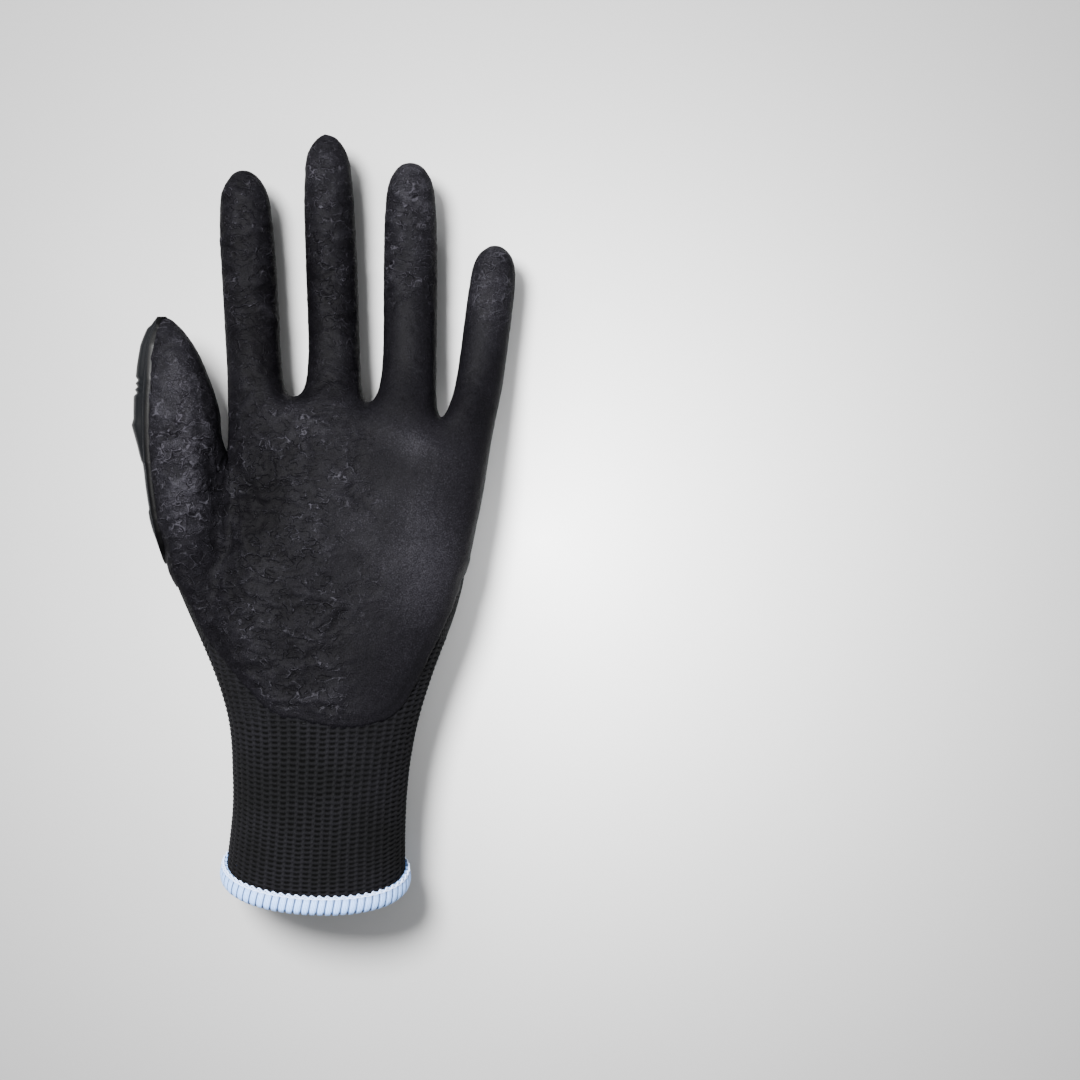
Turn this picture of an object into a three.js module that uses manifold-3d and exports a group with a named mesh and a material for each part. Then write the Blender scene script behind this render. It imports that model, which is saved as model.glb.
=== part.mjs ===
// A left-hand work glove that lies on its back with the palm up. A hollow knitted liner ends in a bound cuff,
// a dipped coating covers its palm side, and moulded rubber guards sit on the thumb, the knuckles and the
// backs of the fingers.
// Millimetres. X runs across the hand towards the little finger, Y towards the fingertips, Z out of the palm.
// The origin is the centre of the middle knuckle pad's flat crown, in the plane that the glove lies on.

import * as THREE from "three";
import { mergeVertices } from "three/addons/utils/BufferGeometryUtils.js";
import Module from "manifold-3d";

const wasm = await Module();
wasm.setup();

// Knitted liner, measured over its outside
const palmWidth = 90;
const palmDepth = 27;
const cuffWidth = 57;
const cuffDepth = 40;
const handLength = 158.5; // from the finger webs to the cuff's edge, along its sides
const webReach = 27; // from the knuckle pads' centres to the finger webs
const linerWall = 1.4;
const cuffRoundness = 2.1; // power of the section's oval at the cuff, and at the palm where it is squarer
const palmSquareness = 3;

// Coating, and the gap that keeps neighbouring pieces apart
const coatThickness = 0.9;
const coatSideReach = 0.4; // how far it wraps the little finger's side of the hand, as a share of its length
const seatGap = 0.3;

// Bound edge of the cuff
const hemWrap = 1.1; // thickness of the thread wrapped round the knit
const hemReach = 3.8; // how far it covers the cuff
const hemRoll = 1.9; // how far it stands past the knit's edge
const hemLip = 0.7; // thickness of its lip as a share of the wrap
const hemShoulder = 0.4; // where it reaches full thickness, as a share of its reach
const hemEnd = 0.3; // where its end starts to round, as a share of its roll

// Rubber guards
const flangeThickness = 1.4;
const knuckleHeight = 7;
const knucklePadLength = 20;
const knucklePadWidth = 17; // over the index finger; the others follow their fingers' widths
const padChamfer = 2.2;
const padCorner = 0.28; // cut corners of a pad, as a share of its width
const knuckleMargin = 4; // how far the flange stands past the pads
const indexEndMargin = 0.5; // shares of that margin at the flange's two ends
const littleEndMargin = -0.6;
const flangeTaper = 0.3; // how much the flange's ends narrow, and how much they thin
const flangeThinning = 0.15;
const fingerGuardHeight = 4.3;
const fingerGuardWidth = 13;
const fingerGuardSpan = { start: 0.14, end: 0.9 }; // as shares of the finger's length
const thumbGuardHeight = 4.5;
const thumbGuardWidth = 17;
// Ends of the thumb's guard and its line, as shares of the thumb's reach from its web and of its height
const thumbGuardSpan = { heel: -0.62, tip: 0.97, line: -0.3, heelHeight: 0.93, tipHeight: 1.02 };

// Each finger: where it starts across from the origin, its sideways lean, and its size over the liner, with
// start and width as shares of the palm's width, length of the hand's length and depth of the palm's depth
const fingers = [
  { name: "index", start: -0.27, lean: -0.06, length: 0.4732, width: 0.1756, depth: 0.6074 },
  { name: "middle", start: 0.027, lean: -0.037, length: 0.5508, width: 0.1622, depth: 0.6 },
  { name: "ring", start: 0.301, lean: 0.003, length: 0.4921, width: 0.1711, depth: 0.5852 },
  { name: "little", start: 0.554, lean: 0.125, length: 0.3186, width: 0.1467, depth: 0.5333 },
].map(({ name, start, lean, length, width, depth }) => ({
  name,
  lean,
  startX: start * palmWidth,
  length: length * handLength,
  width: width * palmWidth,
  depth: depth * palmDepth,
}));

// How far the first row of the hand lies past the web line, at each place, as shares of the hand's length
const webOffsets = [-0.0082, -0.0208, -0.0537];
const fingerOffset = 0.0126;
const indexEdgeOffset = -0.0126;
const indexSideOffset = -0.0063;
const littleEdgeOffset = -0.0442;
const littleSideOffset = -0.0379;
const webRise = 0.0095; // how much higher a web stands between its palm and back edges
const webShare = 0.2; // part of the gap between two fingers that each one's outer column takes

// Rings of a finger: place along it, girth as shares of its width and depth, and rise of its axis by depth
const fingerRings = [
  { along: 0.1, width: 1.02, depth: 1.12, lift: 0.12 },
  { along: 0.42, width: 1.04, depth: 1.04, lift: 0 },
  { along: 0.72, width: 1.03, depth: 0.96, lift: 0.02 },
  { along: 0.89, width: 0.95, depth: 0.84, lift: 0.08 },
  { along: 0.972, width: 0.6, depth: 0.48, lift: 0.13 },
];
const tipRise = 0.03; // how much the tip lies over the last ring's axis, by depth

// Rows of the hand, from the webs to the cuff's edge: place along it, centre as a share of the palm's width,
// shares of palm against cuff width and depth, height of the back over the knuckle guard, how far the row leans
// palm side first, how far its columns follow the fingers, and how much lower it lies on the little finger's
// side. The last row stands on the hem.
const handRows = [
  { along: 0, centre: 0.123, wide: 0.96, deep: 1.3, onGuard: 0.85, lean: 0, fan: 1, skew: 0 },
  { along: 0.076, centre: 0.118, wide: 0.9, deep: 1.2, onGuard: 1, lean: 0, fan: 0.85, skew: 0 },
  { along: 0.151, centre: 0.103, wide: 0.86, deep: 1, onGuard: 1.02, lean: 0, fan: 0.6, skew: 0 },
  { along: 0.322, centre: 0.067, wide: 0.79, deep: 0.76, onGuard: 1.04, lean: 0.02, fan: 0.35, skew: 0 },
  { along: 0.498, centre: -0.008, wide: 0.76, deep: 0.6, onGuard: 1.04, lean: 0.06, fan: 0.15, skew: 0 },
  { along: 0.662, centre: -0.003, wide: 0.1, deep: 0.46, onGuard: 0.9, lean: 0.15, fan: 0, skew: 0 },
  { along: 0.833, centre: -0.027, wide: -0.01, deep: 0.2, onGuard: 0.55, lean: 0.3, fan: 0, skew: 0.004 },
  { along: 1, centre: -0.045, wide: 0.1, deep: 0, onGuard: 0, lean: 0.45, fan: 0, skew: 0.009 },
];

// Rings of the thumb by their two ends, as shares of its reach from the thumb's web, then height and depth,
// and whether the coating goes all round
const thumbReach = 50;
const thumbDepth = 21;
const thumbHeight = 27;
const thumbRings = [
  { webX: -0.09, webY: 0.2, heelX: -0.37, heelY: -0.62, rise: 0.92, depth: 1.3, allRound: false },
  { webX: -0.08, webY: 0.34, heelX: -0.475, heelY: -0.14, rise: 0.97, depth: 1.12, allRound: true },
  { webX: -0.11, webY: 0.48, heelX: -0.5, heelY: 0.22, rise: 1, depth: 1.04, allRound: true },
  { webX: -0.16, webY: 0.63, heelX: -0.5, heelY: 0.54, rise: 1.02, depth: 0.92, allRound: true },
  { webX: -0.21, webY: 0.79, heelX: -0.475, heelY: 0.77, rise: 1.03, depth: 0.76, allRound: true },
  { webX: -0.3, webY: 0.92, heelX: -0.455, heelY: 0.9, rise: 1.04, depth: 0.44, allRound: true },
];
const thumbTip = { x: -0.4, y: 0.99 };
const thumbRowSpan = [2, 3, 4]; // rows of the hand that the thumb grows from
const thumbWebRise = 1; // how far the web beside the thumb is drawn towards the fingers

// Edge of the coating across the heel of the hand, as shares of the palm's width and the hand's length
const coatEdge = [
  { across: -0.9, along: 0.36 },
  { across: -0.57, along: 0.385 },
  { across: -0.45, along: 0.49 },
  { across: -0.37, along: 0.545 },
  { across: -0.28, along: 0.604 },
  { across: -0.19, along: 0.65 },
  { across: -0.08, along: 0.668 },
  { across: 0.07, along: 0.682 },
  { across: 0.2, along: 0.672 },
  { across: 0.285, along: 0.64 },
  { across: 0.38, along: 0.54 },
  { across: 0.45, along: 0.455 },
  { across: 0.53, along: 0.3 },
  { across: 0.8, along: 0.2 },
];

// Mouldings: place along the guard, its width, and its height at the middle over the flange as shares
const fingerGuardRows = [
  { along: 0, width: 0.4, crest: -0.25 },
  { along: 0.07, width: 0.8, crest: 0 },
  { along: 0.14, width: 0.95, crest: 0.1 },
  { along: 0.17, width: 1, crest: 0.75 },
  { along: 0.34, width: 1, crest: 0.85 },
  { along: 0.36, width: 1, crest: 0.25 },
  { along: 0.39, width: 1, crest: 0.95 },
  { along: 0.42, width: 1, crest: 0.3 },
  { along: 0.45, width: 1, crest: 1 },
  { along: 0.48, width: 1, crest: 0.3 },
  { along: 0.51, width: 1, crest: 1 },
  { along: 0.66, width: 0.96, crest: 1 },
  { along: 0.84, width: 0.85, crest: 0.5 },
  { along: 0.87, width: 0.8, crest: 0 },
  { along: 0.96, width: 0.6, crest: -0.1 },
  { along: 1, width: 0.35, crest: -0.25 },
];
const thumbGuardRows = [
  { along: 0, width: 0.3, crest: -0.6 },
  { along: 0.03, width: 0.5, crest: -0.45 },
  { along: 0.08, width: 0.66, crest: -0.15 },
  { along: 0.13, width: 0.78, crest: 0.08 },
  { along: 0.18, width: 0.84, crest: 0.14 },
  { along: 0.214, width: 0.86, crest: 0.1 },
  { along: 0.222, width: 0.87, crest: -0.1 },
  { along: 0.37, width: 0.94, crest: -0.2 },
  { along: 0.405, width: 0.96, crest: -0.1 },
  { along: 0.415, width: 0.96, crest: 0.1 },
  { along: 0.48, width: 0.98, crest: 0.45 },
  { along: 0.562, width: 1, crest: 1 },
  { along: 0.587, width: 1, crest: 0.78 },
  { along: 0.68, width: 1, crest: 0.78 },
  { along: 0.692, width: 1, crest: 0.35 },
  { along: 0.704, width: 1, crest: 0.74 },
  { along: 0.717, width: 1, crest: 0.32 },
  { along: 0.73, width: 1, crest: 0.7 },
  { along: 0.742, width: 1, crest: 0.3 },
  { along: 0.755, width: 0.98, crest: 0.66 },
  { along: 0.8, width: 0.92, crest: 0.66 },
  { along: 0.885, width: 0.76, crest: 0.58 },
  { along: 0.955, width: 0.5, crest: 0.25 },
  { along: 0.965, width: 0.45, crest: 0 },
  { along: 1, width: 0.2, crest: -0.3 },
];
// Section of a moulding: place across it, and height as shares of the flange and of the body on it
const guardSection = [
  { across: -1, flange: 0.75, body: 0 },
  { across: -0.72, flange: 1, body: 0 },
  { across: -0.58, flange: 1, body: 0.7 },
  { across: 0, flange: 1, body: 1 },
  { across: 0.58, flange: 1, body: 0.7 },
  { across: 0.72, flange: 1, body: 0 },
  { across: 1, flange: 0.75, body: 0 },
];

const up = new THREE.Vector3(0, 0, 1);
const down = new THREE.Vector3(0, 0, -1);
const left = new THREE.Vector3(-1, 0, 0);
const towardsTips = new THREE.Vector3(0, 1, 0);
const mix = THREE.MathUtils.lerp;

const alongHand = (share) => webReach - share * handLength;

// Cage of the glove: a closed net of quads, open at the cuff, that one smooth surface follows

const cage = { points: [], faces: [] };
const coated = new Set(); // cage points under the coating
const ringCorner = 0.78; // corners of an eight-point ring, as a share of its half width and half depth
const ringGain = 6 / (4 + 2 * Math.cos(Math.PI / 4)); // what smoothing takes off an eight-point ring

function addPoint(x, y, z) {
  return cage.points.push(new THREE.Vector3(x, y, z)) - 1;
}

function bridge(ringA, ringB, skip = () => false) {
  ringA.forEach((_, k) => {
    const next = (k + 1) % ringA.length;
    if (!skip(k)) {
      cage.faces.push([ringA[k], ringA[next], ringB[next], ringB[k]]);
    }
  });
}

// A finger's or thumb's ring goes palm side, web side, back, other side, as the hand's rows do.
// The coating covers its palm side and both of its sides, or goes all round it.
function digitRing(centre, across, width, depth, allRound = false) {
  const place = (a, z) => {
    const p = centre.clone().addScaledVector(across, (a * width * ringGain) / 2);
    return addPoint(p.x, p.y, p.z + (z * depth * ringGain) / 2);
  };
  const c = ringCorner;
  const round = [[-c, c], [0, 1], [c, c], [1, 0], [c, -c], [0, -1], [-c, -c], [-1, 0]];
  const ring = round.map(([a, z]) => place(a, z));
  ring.forEach((v, k) => {
    if (allRound || k < 4 || k === 7) coated.add(v);
  });
  return ring;
}

function closeTip(ring, pole) {
  const centre = addPoint(pole.x, pole.y, pole.z);
  coated.add(centre);
  const [pl, pm, pr, sr, br, bm, bl, sl] = ring;
  cage.faces.push([pl, pm, centre, sl], [pm, pr, sr, centre]);
  cage.faces.push([centre, sr, br, bm], [sl, centre, bm, bl]);
}

// The pole's point that puts the smooth tip at a given place, from the last ring's place
const poleFor = (tip, ring) => tip.clone().multiplyScalar(9 / 4).addScaledVector(ring, -5 / 4);

const fingerX = (finger, y) => finger.startX + finger.lean * (y - webReach);

function rowHeights(row) {
  const depth = mix(cuffDepth, palmDepth, row.deep);
  const onHem = row === handRows[handRows.length - 1] ? seatGap + hemWrap : 0;
  const back = row.onGuard * (knuckleHeight + seatGap) + onHem;
  return { depth, middle: back + depth / 2 };
}

// Columns across one side of the hand: three to a finger, the outer ones beside a web
function fingerColumns() {
  const edges = [];
  fingers.forEach((finger, i) => {
    const x = finger.startX;
    const half = finger.width / 2;
    const before = fingers[i - 1];
    const after = fingers[i + 1];
    const gapBefore = before ? x - half - before.startX - before.width / 2 : 0;
    const gapAfter = after ? after.startX - after.width / 2 - x - half : 0;
    edges.push(before ? x - half - gapBefore * webShare : x - half * ringCorner * ringGain);
    edges.push(x);
    edges.push(after ? x + half + gapAfter * webShare : x + half * ringCorner * ringGain);
  });
  return edges;
}

const columnXs = fingerColumns();
const columnCount = columnXs.length;
const webColumn = (j) => j % 3 !== 1;
const edgeLeft = columnXs[0] - (1 - ringCorner) * fingers[0].width * 0.5;
const edgeRight = columnXs[columnCount - 1] + (1 - ringCorner) * fingers[3].width * 0.5;

function handRing(row, rowNumber) {
  const isFirst = rowNumber === 0;
  const sideRise = rowNumber === thumbRowSpan[0] ? thumbWebRise / handLength : 0;
  const width = mix(cuffWidth, palmWidth, row.wide);
  const { depth, middle } = rowHeights(row);
  const centreX = row.centre * palmWidth;
  const power = mix(cuffRoundness, palmSquareness, Math.min(row.wide, 1));
  const place = (share, side, offset = 0) => {
    const z = (side * depth * (1 - Math.abs(share) ** power) ** (1 / power)) / 2;
    const y = alongHand(row.along + row.skew * share) + offset * handLength - row.lean * z;
    return addPoint(centreX + (share * width) / 2, y, middle + z);
  };
  const shareOf = (j) => {
    const even = -Math.cos((Math.PI * (j + 1)) / (columnCount + 1));
    const fanned = ((columnXs[j] - edgeLeft) / (edgeRight - edgeLeft)) * 2 - 1;
    return mix(even, fanned, row.fan);
  };
  const offsetOf = (j) => {
    if (!isFirst) return 0;
    if (!webColumn(j)) return fingerOffset;
    return webOffsets[Math.ceil(j / 3) - 1] ?? (j === 0 ? indexEdgeOffset : littleEdgeOffset);
  };
  const columns = [...columnXs.keys()];
  const palm = columns.map((j) => place(shareOf(j), 1, offsetOf(j)));
  const rightSide = place(1, 0, isFirst ? littleSideOffset : 0);
  const back = columns.map((j) => place(shareOf(j), -1, offsetOf(j)));
  const leftSide = place(-1, 0, isFirst ? indexSideOffset : sideRise);
  [...palm, leftSide].forEach((v) => coated.add(v));
  if (row.along < coatSideReach) {
    coated.add(rightSide);
  }
  return { palm, rightSide, leftSide, all: [...palm, rightSide, ...back.reverse(), leftSide] };
}

const rows = handRows.map(handRing);

// The ring's last point and first column carry the thumb, so those faces are left out beside it.
for (let i = handRows.length - 1; i > 0; i -= 1) {
  const thumbHere = thumbRowSpan.includes(i) && thumbRowSpan.includes(i - 1);
  const lastIndex = rows[i].all.length - 1;
  bridge(rows[i].all, rows[i - 1].all, (k) => thumbHere && (k === lastIndex || k === lastIndex - 1));
}

const first = rows[0];
const backOf = (j) => first.all[first.all.length - 2 - j];
const websLeft = [];
const websRight = [];
for (let web = 0; web < fingers.length - 1; web += 1) {
  const j = web * 3 + 2;
  const sides = [j, j + 1].map((column) => {
    const top = cage.points[first.palm[column]];
    const bottom = cage.points[backOf(column)];
    return addPoint(top.x, top.y + webRise * handLength, (top.z + bottom.z) / 2);
  });
  sides.forEach((v) => coated.add(v));
  websLeft.push(sides[0]);
  websRight.push(sides[1]);
  cage.faces.push([first.palm[j], first.palm[j + 1], sides[1], sides[0]]);
  cage.faces.push([sides[0], sides[1], backOf(j + 1), backOf(j)]);
}

function fingerAxisHeight(finger, lift) {
  return fingerGuardHeight + seatGap + finger.depth * (0.5 + lift);
}

fingers.forEach((finger, i) => {
  const j = i * 3;
  const sideAfter = i < fingers.length - 1 ? websLeft[i] : first.rightSide;
  const sideBefore = i > 0 ? websRight[i - 1] : first.leftSide;
  const palmSide = [first.palm[j], first.palm[j + 1], first.palm[j + 2]];
  let ring = [...palmSide, sideAfter, backOf(j + 2), backOf(j + 1), backOf(j), sideBefore];
  const across = new THREE.Vector3(1, -finger.lean, 0).normalize();
  const pointAt = (along, lift) => {
    const y = webReach + along * finger.length;
    return new THREE.Vector3(fingerX(finger, y), y, fingerAxisHeight(finger, lift));
  };
  fingerRings.forEach((step) => {
    const width = finger.width * step.width;
    const depth = finger.depth * step.depth;
    const made = digitRing(pointAt(step.along, step.lift), across, width, depth);
    bridge(ring, made);
    ring = made;
  });
  const last = fingerRings[fingerRings.length - 1];
  closeTip(ring, poleFor(pointAt(1, last.lift + tipRise), pointAt(last.along, last.lift)));
});

const [thumbTop, thumbMiddle, thumbHeel] = thumbRowSpan;
const cornerBack = (row) => row.all[row.all.length - 2];
const thumbWeb = cage.points[rows[thumbTop].leftSide].clone();
thumbWeb.y -= thumbWebRise;
const thumbPoint = (x, y, z) => {
  return new THREE.Vector3(thumbWeb.x + x * thumbReach, thumbWeb.y + y * thumbReach, z);
};
const thumbBase = [
  rows[thumbHeel].palm[0],
  rows[thumbMiddle].palm[0],
  rows[thumbTop].palm[0],
  rows[thumbTop].leftSide,
  cornerBack(rows[thumbTop]),
  cornerBack(rows[thumbMiddle]),
  cornerBack(rows[thumbHeel]),
  rows[thumbHeel].leftSide,
];

let thumbRing = thumbBase;
let thumbCentre;
thumbRings.forEach((step) => {
  const z = thumbHeight * step.rise;
  const web = thumbPoint(step.webX, step.webY, z);
  const heel = thumbPoint(step.heelX, step.heelY, z);
  const across = web.clone().sub(heel);
  thumbCentre = web.clone().add(heel).multiplyScalar(0.5);
  const way = across.clone().normalize();
  const made = digitRing(thumbCentre, way, across.length(), thumbDepth * step.depth, step.allRound);
  bridge(thumbRing, made);
  thumbRing = made;
});
const thumbEnd = thumbPoint(thumbTip.x, thumbTip.y, thumbCentre.z);
closeTip(thumbRing, poleFor(thumbEnd, thumbCentre));

// One step of Catmull-Clark smoothing

function edgesOf(faces) {
  const edges = new Map();
  faces.forEach((face, f) => {
    face.forEach((a, k) => {
      const b = face[(k + 1) % face.length];
      const key = a < b ? `${a}_${b}` : `${b}_${a}`;
      if (!edges.has(key)) {
        edges.set(key, { a, b, faces: [] });
      }
      edges.get(key).faces.push(f);
    });
  });
  return edges;
}

function average(list) {
  const sum = new THREE.Vector3();
  list.forEach((p) => sum.add(p));
  return sum.divideScalar(list.length);
}

function neighboursOf(points, faces, edges) {
  const around = points.map(() => ({ edges: [], faces: [], open: [] }));
  edges.forEach((edge) => {
    around[edge.a].edges.push(edge.b);
    around[edge.b].edges.push(edge.a);
    if (edge.faces.length === 1) {
      around[edge.a].open.push(edge.b);
      around[edge.b].open.push(edge.a);
    }
  });
  faces.forEach((face, f) => face.forEach((v) => around[v].faces.push(f)));
  return around;
}

function smoothOnce({ points, faces }) {
  const edges = edgesOf(faces);
  const around = neighboursOf(points, faces, edges);
  const centres = faces.map((face) => average(face.map((v) => points[v])));
  const moved = points.map((p, v) => {
    const { edges: ends, faces: touching, open } = around[v];
    if (open.length) {
      return average(open.map((w) => points[w])).multiplyScalar(0.25).addScaledVector(p, 0.75);
    }
    const n = ends.length;
    const faceMean = average(touching.map((f) => centres[f]));
    const edgeMean = average(ends.map((w) => points[w].clone().add(p).multiplyScalar(0.5)));
    return faceMean.addScaledVector(edgeMean, 2).addScaledVector(p, n - 3).divideScalar(n);
  });
  const made = [...moved, ...centres];
  const midOf = new Map();
  edges.forEach((edge, key) => {
    const ends = [points[edge.a], points[edge.b]];
    const near = edge.faces.length === 2 ? edge.faces.map((f) => centres[f]) : [];
    midOf.set(key, made.push(average([...ends, ...near])) - 1);
  });
  const mid = (a, b) => midOf.get(a < b ? `${a}_${b}` : `${b}_${a}`);
  const split = faces.flatMap((face, f) =>
    face.map((v, k) => {
      const next = face[(k + 1) % face.length];
      const last = face[(k + face.length - 1) % face.length];
      return [v, mid(v, next), points.length + f, mid(last, v)];
    }),
  );
  return { points: made, faces: split };
}

// Moves each point to where endless smoothing would bring it.
function toLimit({ points, faces }) {
  const around = neighboursOf(points, faces, edgesOf(faces));
  const opposite = points.map(() => []);
  faces.forEach((face) => face.forEach((v, k) => opposite[v].push(face[(k + 2) % 4])));
  const settled = points.map((p, v) => {
    const { edges: ends, open } = around[v];
    if (open.length) {
      return average(open.map((w) => points[w])).multiplyScalar(1 / 3).addScaledVector(p, 2 / 3);
    }
    const n = ends.length;
    const sum = p.clone().multiplyScalar(n * n);
    ends.forEach((w) => sum.addScaledVector(points[w], 4));
    opposite[v].forEach((w) => sum.add(points[w]));
    return sum.divideScalar(n * (n + 5));
  });
  return { points: settled, faces };
}

// Drops the points that no face uses.
function compact({ points, faces }) {
  const used = [...new Set(faces.flat())];
  const place = new Map(used.map((v, k) => [v, k]));
  return { points: used.map((v) => points[v]), faces: faces.map((face) => face.map((v) => place.get(v))) };
}

const surface = toLimit(smoothOnce(compact(cage)));
const centreOf = (face) => average(face.map((v) => surface.points[v]));
const faceRoots = cage.faces.flat(); // smoothing splits each face into one for each of its corners
const coatFaces = surface.faces.filter((_, f) => coated.has(faceRoots[f]));

// Outward directions, longer in creases and on edges so that an offset keeps its distance from every face
function normalsOf({ points, faces }) {
  const longest = 2.5;
  const normals = points.map(() => new THREE.Vector3());
  const faceNormals = faces.map((face) => {
    const [a, b, c, d] = face.map((v) => points[v]);
    return new THREE.Vector3().crossVectors(c.clone().sub(a), d.clone().sub(b));
  });
  faces.forEach((face, f) => face.forEach((v) => normals[v].add(faceNormals[f])));
  normals.forEach((n) => n.normalize());
  const least = points.map(() => 1);
  faces.forEach((face, f) => {
    const faceNormal = faceNormals[f].clone().normalize();
    face.forEach((v) => {
      least[v] = Math.min(least[v], normals[v].dot(faceNormal));
    });
  });
  return normals.map((n, v) => n.divideScalar(Math.max(least[v], 1 / longest)));
}

const normals = normalsOf(surface);

// The open edges of some faces, each as its own face walks it
function borderOf(faces) {
  const open = [...edgesOf(faces).values()].filter((edge) => edge.faces.length === 1);
  return open.map(({ a, b, faces: [f] }) => {
    const face = faces[f];
    return face[(face.indexOf(a) + 1) % face.length] === b ? [a, b] : [b, a];
  });
}

// The cuff's edge, point by point
function edgeLoop() {
  const follow = new Map(borderOf(surface.faces));
  const loop = [[...follow.keys()][0]];
  while (loop.length < follow.size) {
    loop.push(follow.get(loop[loop.length - 1]));
  }
  return loop;
}

const loop = edgeLoop();
const offsetPoints = (offset) => surface.points.map((p, v) => p.clone().addScaledVector(normals[v], offset));
const quadTriangles = ([a, b, c, d]) => [[a, b, c], [a, c, d]];

// Solids

function solidFrom(points, triangles) {
  const vertProperties = new Float32Array(points.flatMap((p) => [p.x, p.y, p.z]));
  const triVerts = new Uint32Array(triangles.flat());
  return new wasm.Manifold(new wasm.Mesh({ numProp: 3, vertProperties, triVerts }));
}

function solidFromUsed(points, triangles) {
  const used = [...new Set(triangles.flat())];
  const place = new Map(used.map((v, k) => [v, k]));
  return solidFrom(used.map((v) => points[v]), triangles.map((t) => t.map((v) => place.get(v))));
}

function solidFromGeometry(geometry) {
  const bare = geometry.index ? geometry.toNonIndexed() : geometry.clone();
  bare.deleteAttribute("normal");
  bare.deleteAttribute("uv");
  const merged = mergeVertices(bare, 1e-4);
  const vertProperties = merged.attributes.position.array;
  const triVerts = new Uint32Array(merged.index.array);
  return new wasm.Manifold(new wasm.Mesh({ numProp: 3, vertProperties, triVerts }));
}

function meshOf(name, solid, material) {
  const { numProp, numVert, vertProperties, triVerts } = solid.getMesh();
  const positions = new Float32Array(numVert * 3);
  for (let i = 0; i < numVert; i += 1) {
    positions.set(vertProperties.subarray(i * numProp, i * numProp + 3), i * 3);
  }
  const geometry = new THREE.BufferGeometry();
  geometry.setAttribute("position", new THREE.BufferAttribute(positions, 3));
  geometry.setIndex(new THREE.BufferAttribute(triVerts, 1));
  geometry.computeVertexNormals();
  const mesh = new THREE.Mesh(geometry, material);
  mesh.name = name;
  return mesh;
}

// The whole hand, filled, with its surface moved out by an offset
function filledHand(offset) {
  const points = offsetPoints(offset);
  const centre = points.push(average(loop.map((v) => points[v]))) - 1;
  const lid = loop.map((v, k) => [loop[(k + 1) % loop.length], v, centre]);
  return solidFrom(points, [...surface.faces.flatMap(quadTriangles), ...lid]);
}

// A closed skin over some faces of the hand, between two offsets of its surface, its border moved outwards
function skinOver(faces, lowOffset, highOffset, spread = 0) {
  const low = offsetPoints(lowOffset);
  const high = offsetPoints(highOffset);
  const border = new Set(borderOf(faces).flat());
  border.forEach((v) => {
    const inwards = average(faces.filter((face) => face.includes(v)).map((face) => centreOf(face)));
    const outwards = surface.points[v].clone().sub(inwards).setLength(spread);
    low[v].add(outwards);
    high[v].add(outwards);
  });
  const shift = high.length;
  const skins = faces.flatMap((face) => {
    const inner = face.map((v) => v + shift);
    return [...quadTriangles(face), ...quadTriangles(inner).map(([a, b, c]) => [a, c, b])];
  });
  const rim = borderOf(faces).flatMap(([a, b]) => [[b, a, a + shift], [b, a + shift, b + shift]]);
  return solidFromUsed([...high, ...low], [...skins, ...rim]);
}

// Space that the coating takes: what lies past its edge on the heel of the hand
function coatSpace() {
  const curve = new THREE.SplineCurve(
    coatEdge.map(({ across, along }) => new THREE.Vector2(across * palmWidth, alongHand(along))),
  );
  const farY = webReach + 2 * handLength;
  const edge = curve.getPoints(coatEdge.length * 3);
  const corners = [new THREE.Vector2(palmWidth, farY), new THREE.Vector2(-palmWidth, farY)];
  const options = { depth: 4 * cuffDepth, bevelEnabled: false };
  return solidFromGeometry(new THREE.ExtrudeGeometry(new THREE.Shape([...edge, ...corners]), options));
}

const space = coatSpace();
const makeLiner = () => skinOver(surface.faces, -linerWall, 0);
const makeCoating = () => skinOver(coatFaces, seatGap, seatGap + coatThickness).intersect(space);

// What a guard keeps clear of: the liner, and the coating where there is one
const overCoat = 2 * seatGap + coatThickness;
const guardSeat = filledHand(seatGap).add(skinOver(coatFaces, 0, overCoat, 2 * seatGap).intersect(space));

// The bound edge: a channel round the knit's edge, with a rolled end
function makeHem() {
  const inner = -linerWall - seatGap;
  const section = [
    { out: seatGap + hemWrap * hemLip, past: -hemReach },
    { out: seatGap + hemWrap, past: -hemReach * hemShoulder },
    { out: seatGap + hemWrap, past: hemRoll * hemEnd },
    { out: -linerWall / 2, past: hemRoll },
    { out: inner - hemWrap, past: hemRoll * hemEnd },
    { out: inner - hemWrap, past: -hemReach * hemShoulder },
    { out: inner, past: -hemReach },
    { out: inner, past: seatGap },
    { out: seatGap, past: seatGap },
    { out: seatGap, past: -hemReach },
  ];
  const inwardOf = new Map();
  const openKeys = new Set(loop);
  edgesOf(surface.faces).forEach(({ a, b }) => {
    if (openKeys.has(a) && !openKeys.has(b)) inwardOf.set(a, b);
    if (openKeys.has(b) && !openKeys.has(a)) inwardOf.set(b, a);
  });
  const points = loop.flatMap((v) => {
    const edge = surface.points[v];
    const past = edge.clone().sub(surface.points[inwardOf.get(v)]).normalize();
    return section.map((s) => edge.clone().addScaledVector(normals[v], s.out).addScaledVector(past, s.past));
  });
  const n = section.length;
  const triangles = loop.flatMap((_, k) => {
    const next = (k + 1) % loop.length;
    return section.flatMap((__, s) => {
      const t = (s + 1) % n;
      return quadTriangles([k * n + s, k * n + t, next * n + t, next * n + s]);
    });
  });
  const hem = solidFrom(points, triangles);
  if (hem.volume() > 0) return hem;
  return solidFrom(points, triangles.map(([a, b, c]) => [a, c, b]));
}

// Guards are draped: each point of the moulding stands on the hand along the guard's outward direction.

const bareHand = meshOf("hand", filledHand(0), new THREE.MeshBasicMaterial({ side: THREE.DoubleSide }));
bareHand.updateMatrixWorld(true);
const farOut = 4 * cuffDepth;

function surfaceBelow(point, outward) {
  const from = point.clone().addScaledVector(outward, farOut);
  const ray = new THREE.Raycaster(from, outward.clone().negate());
  const hit = ray.intersectObject(bareHand)[0];
  return hit ? hit.point : null;
}

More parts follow.
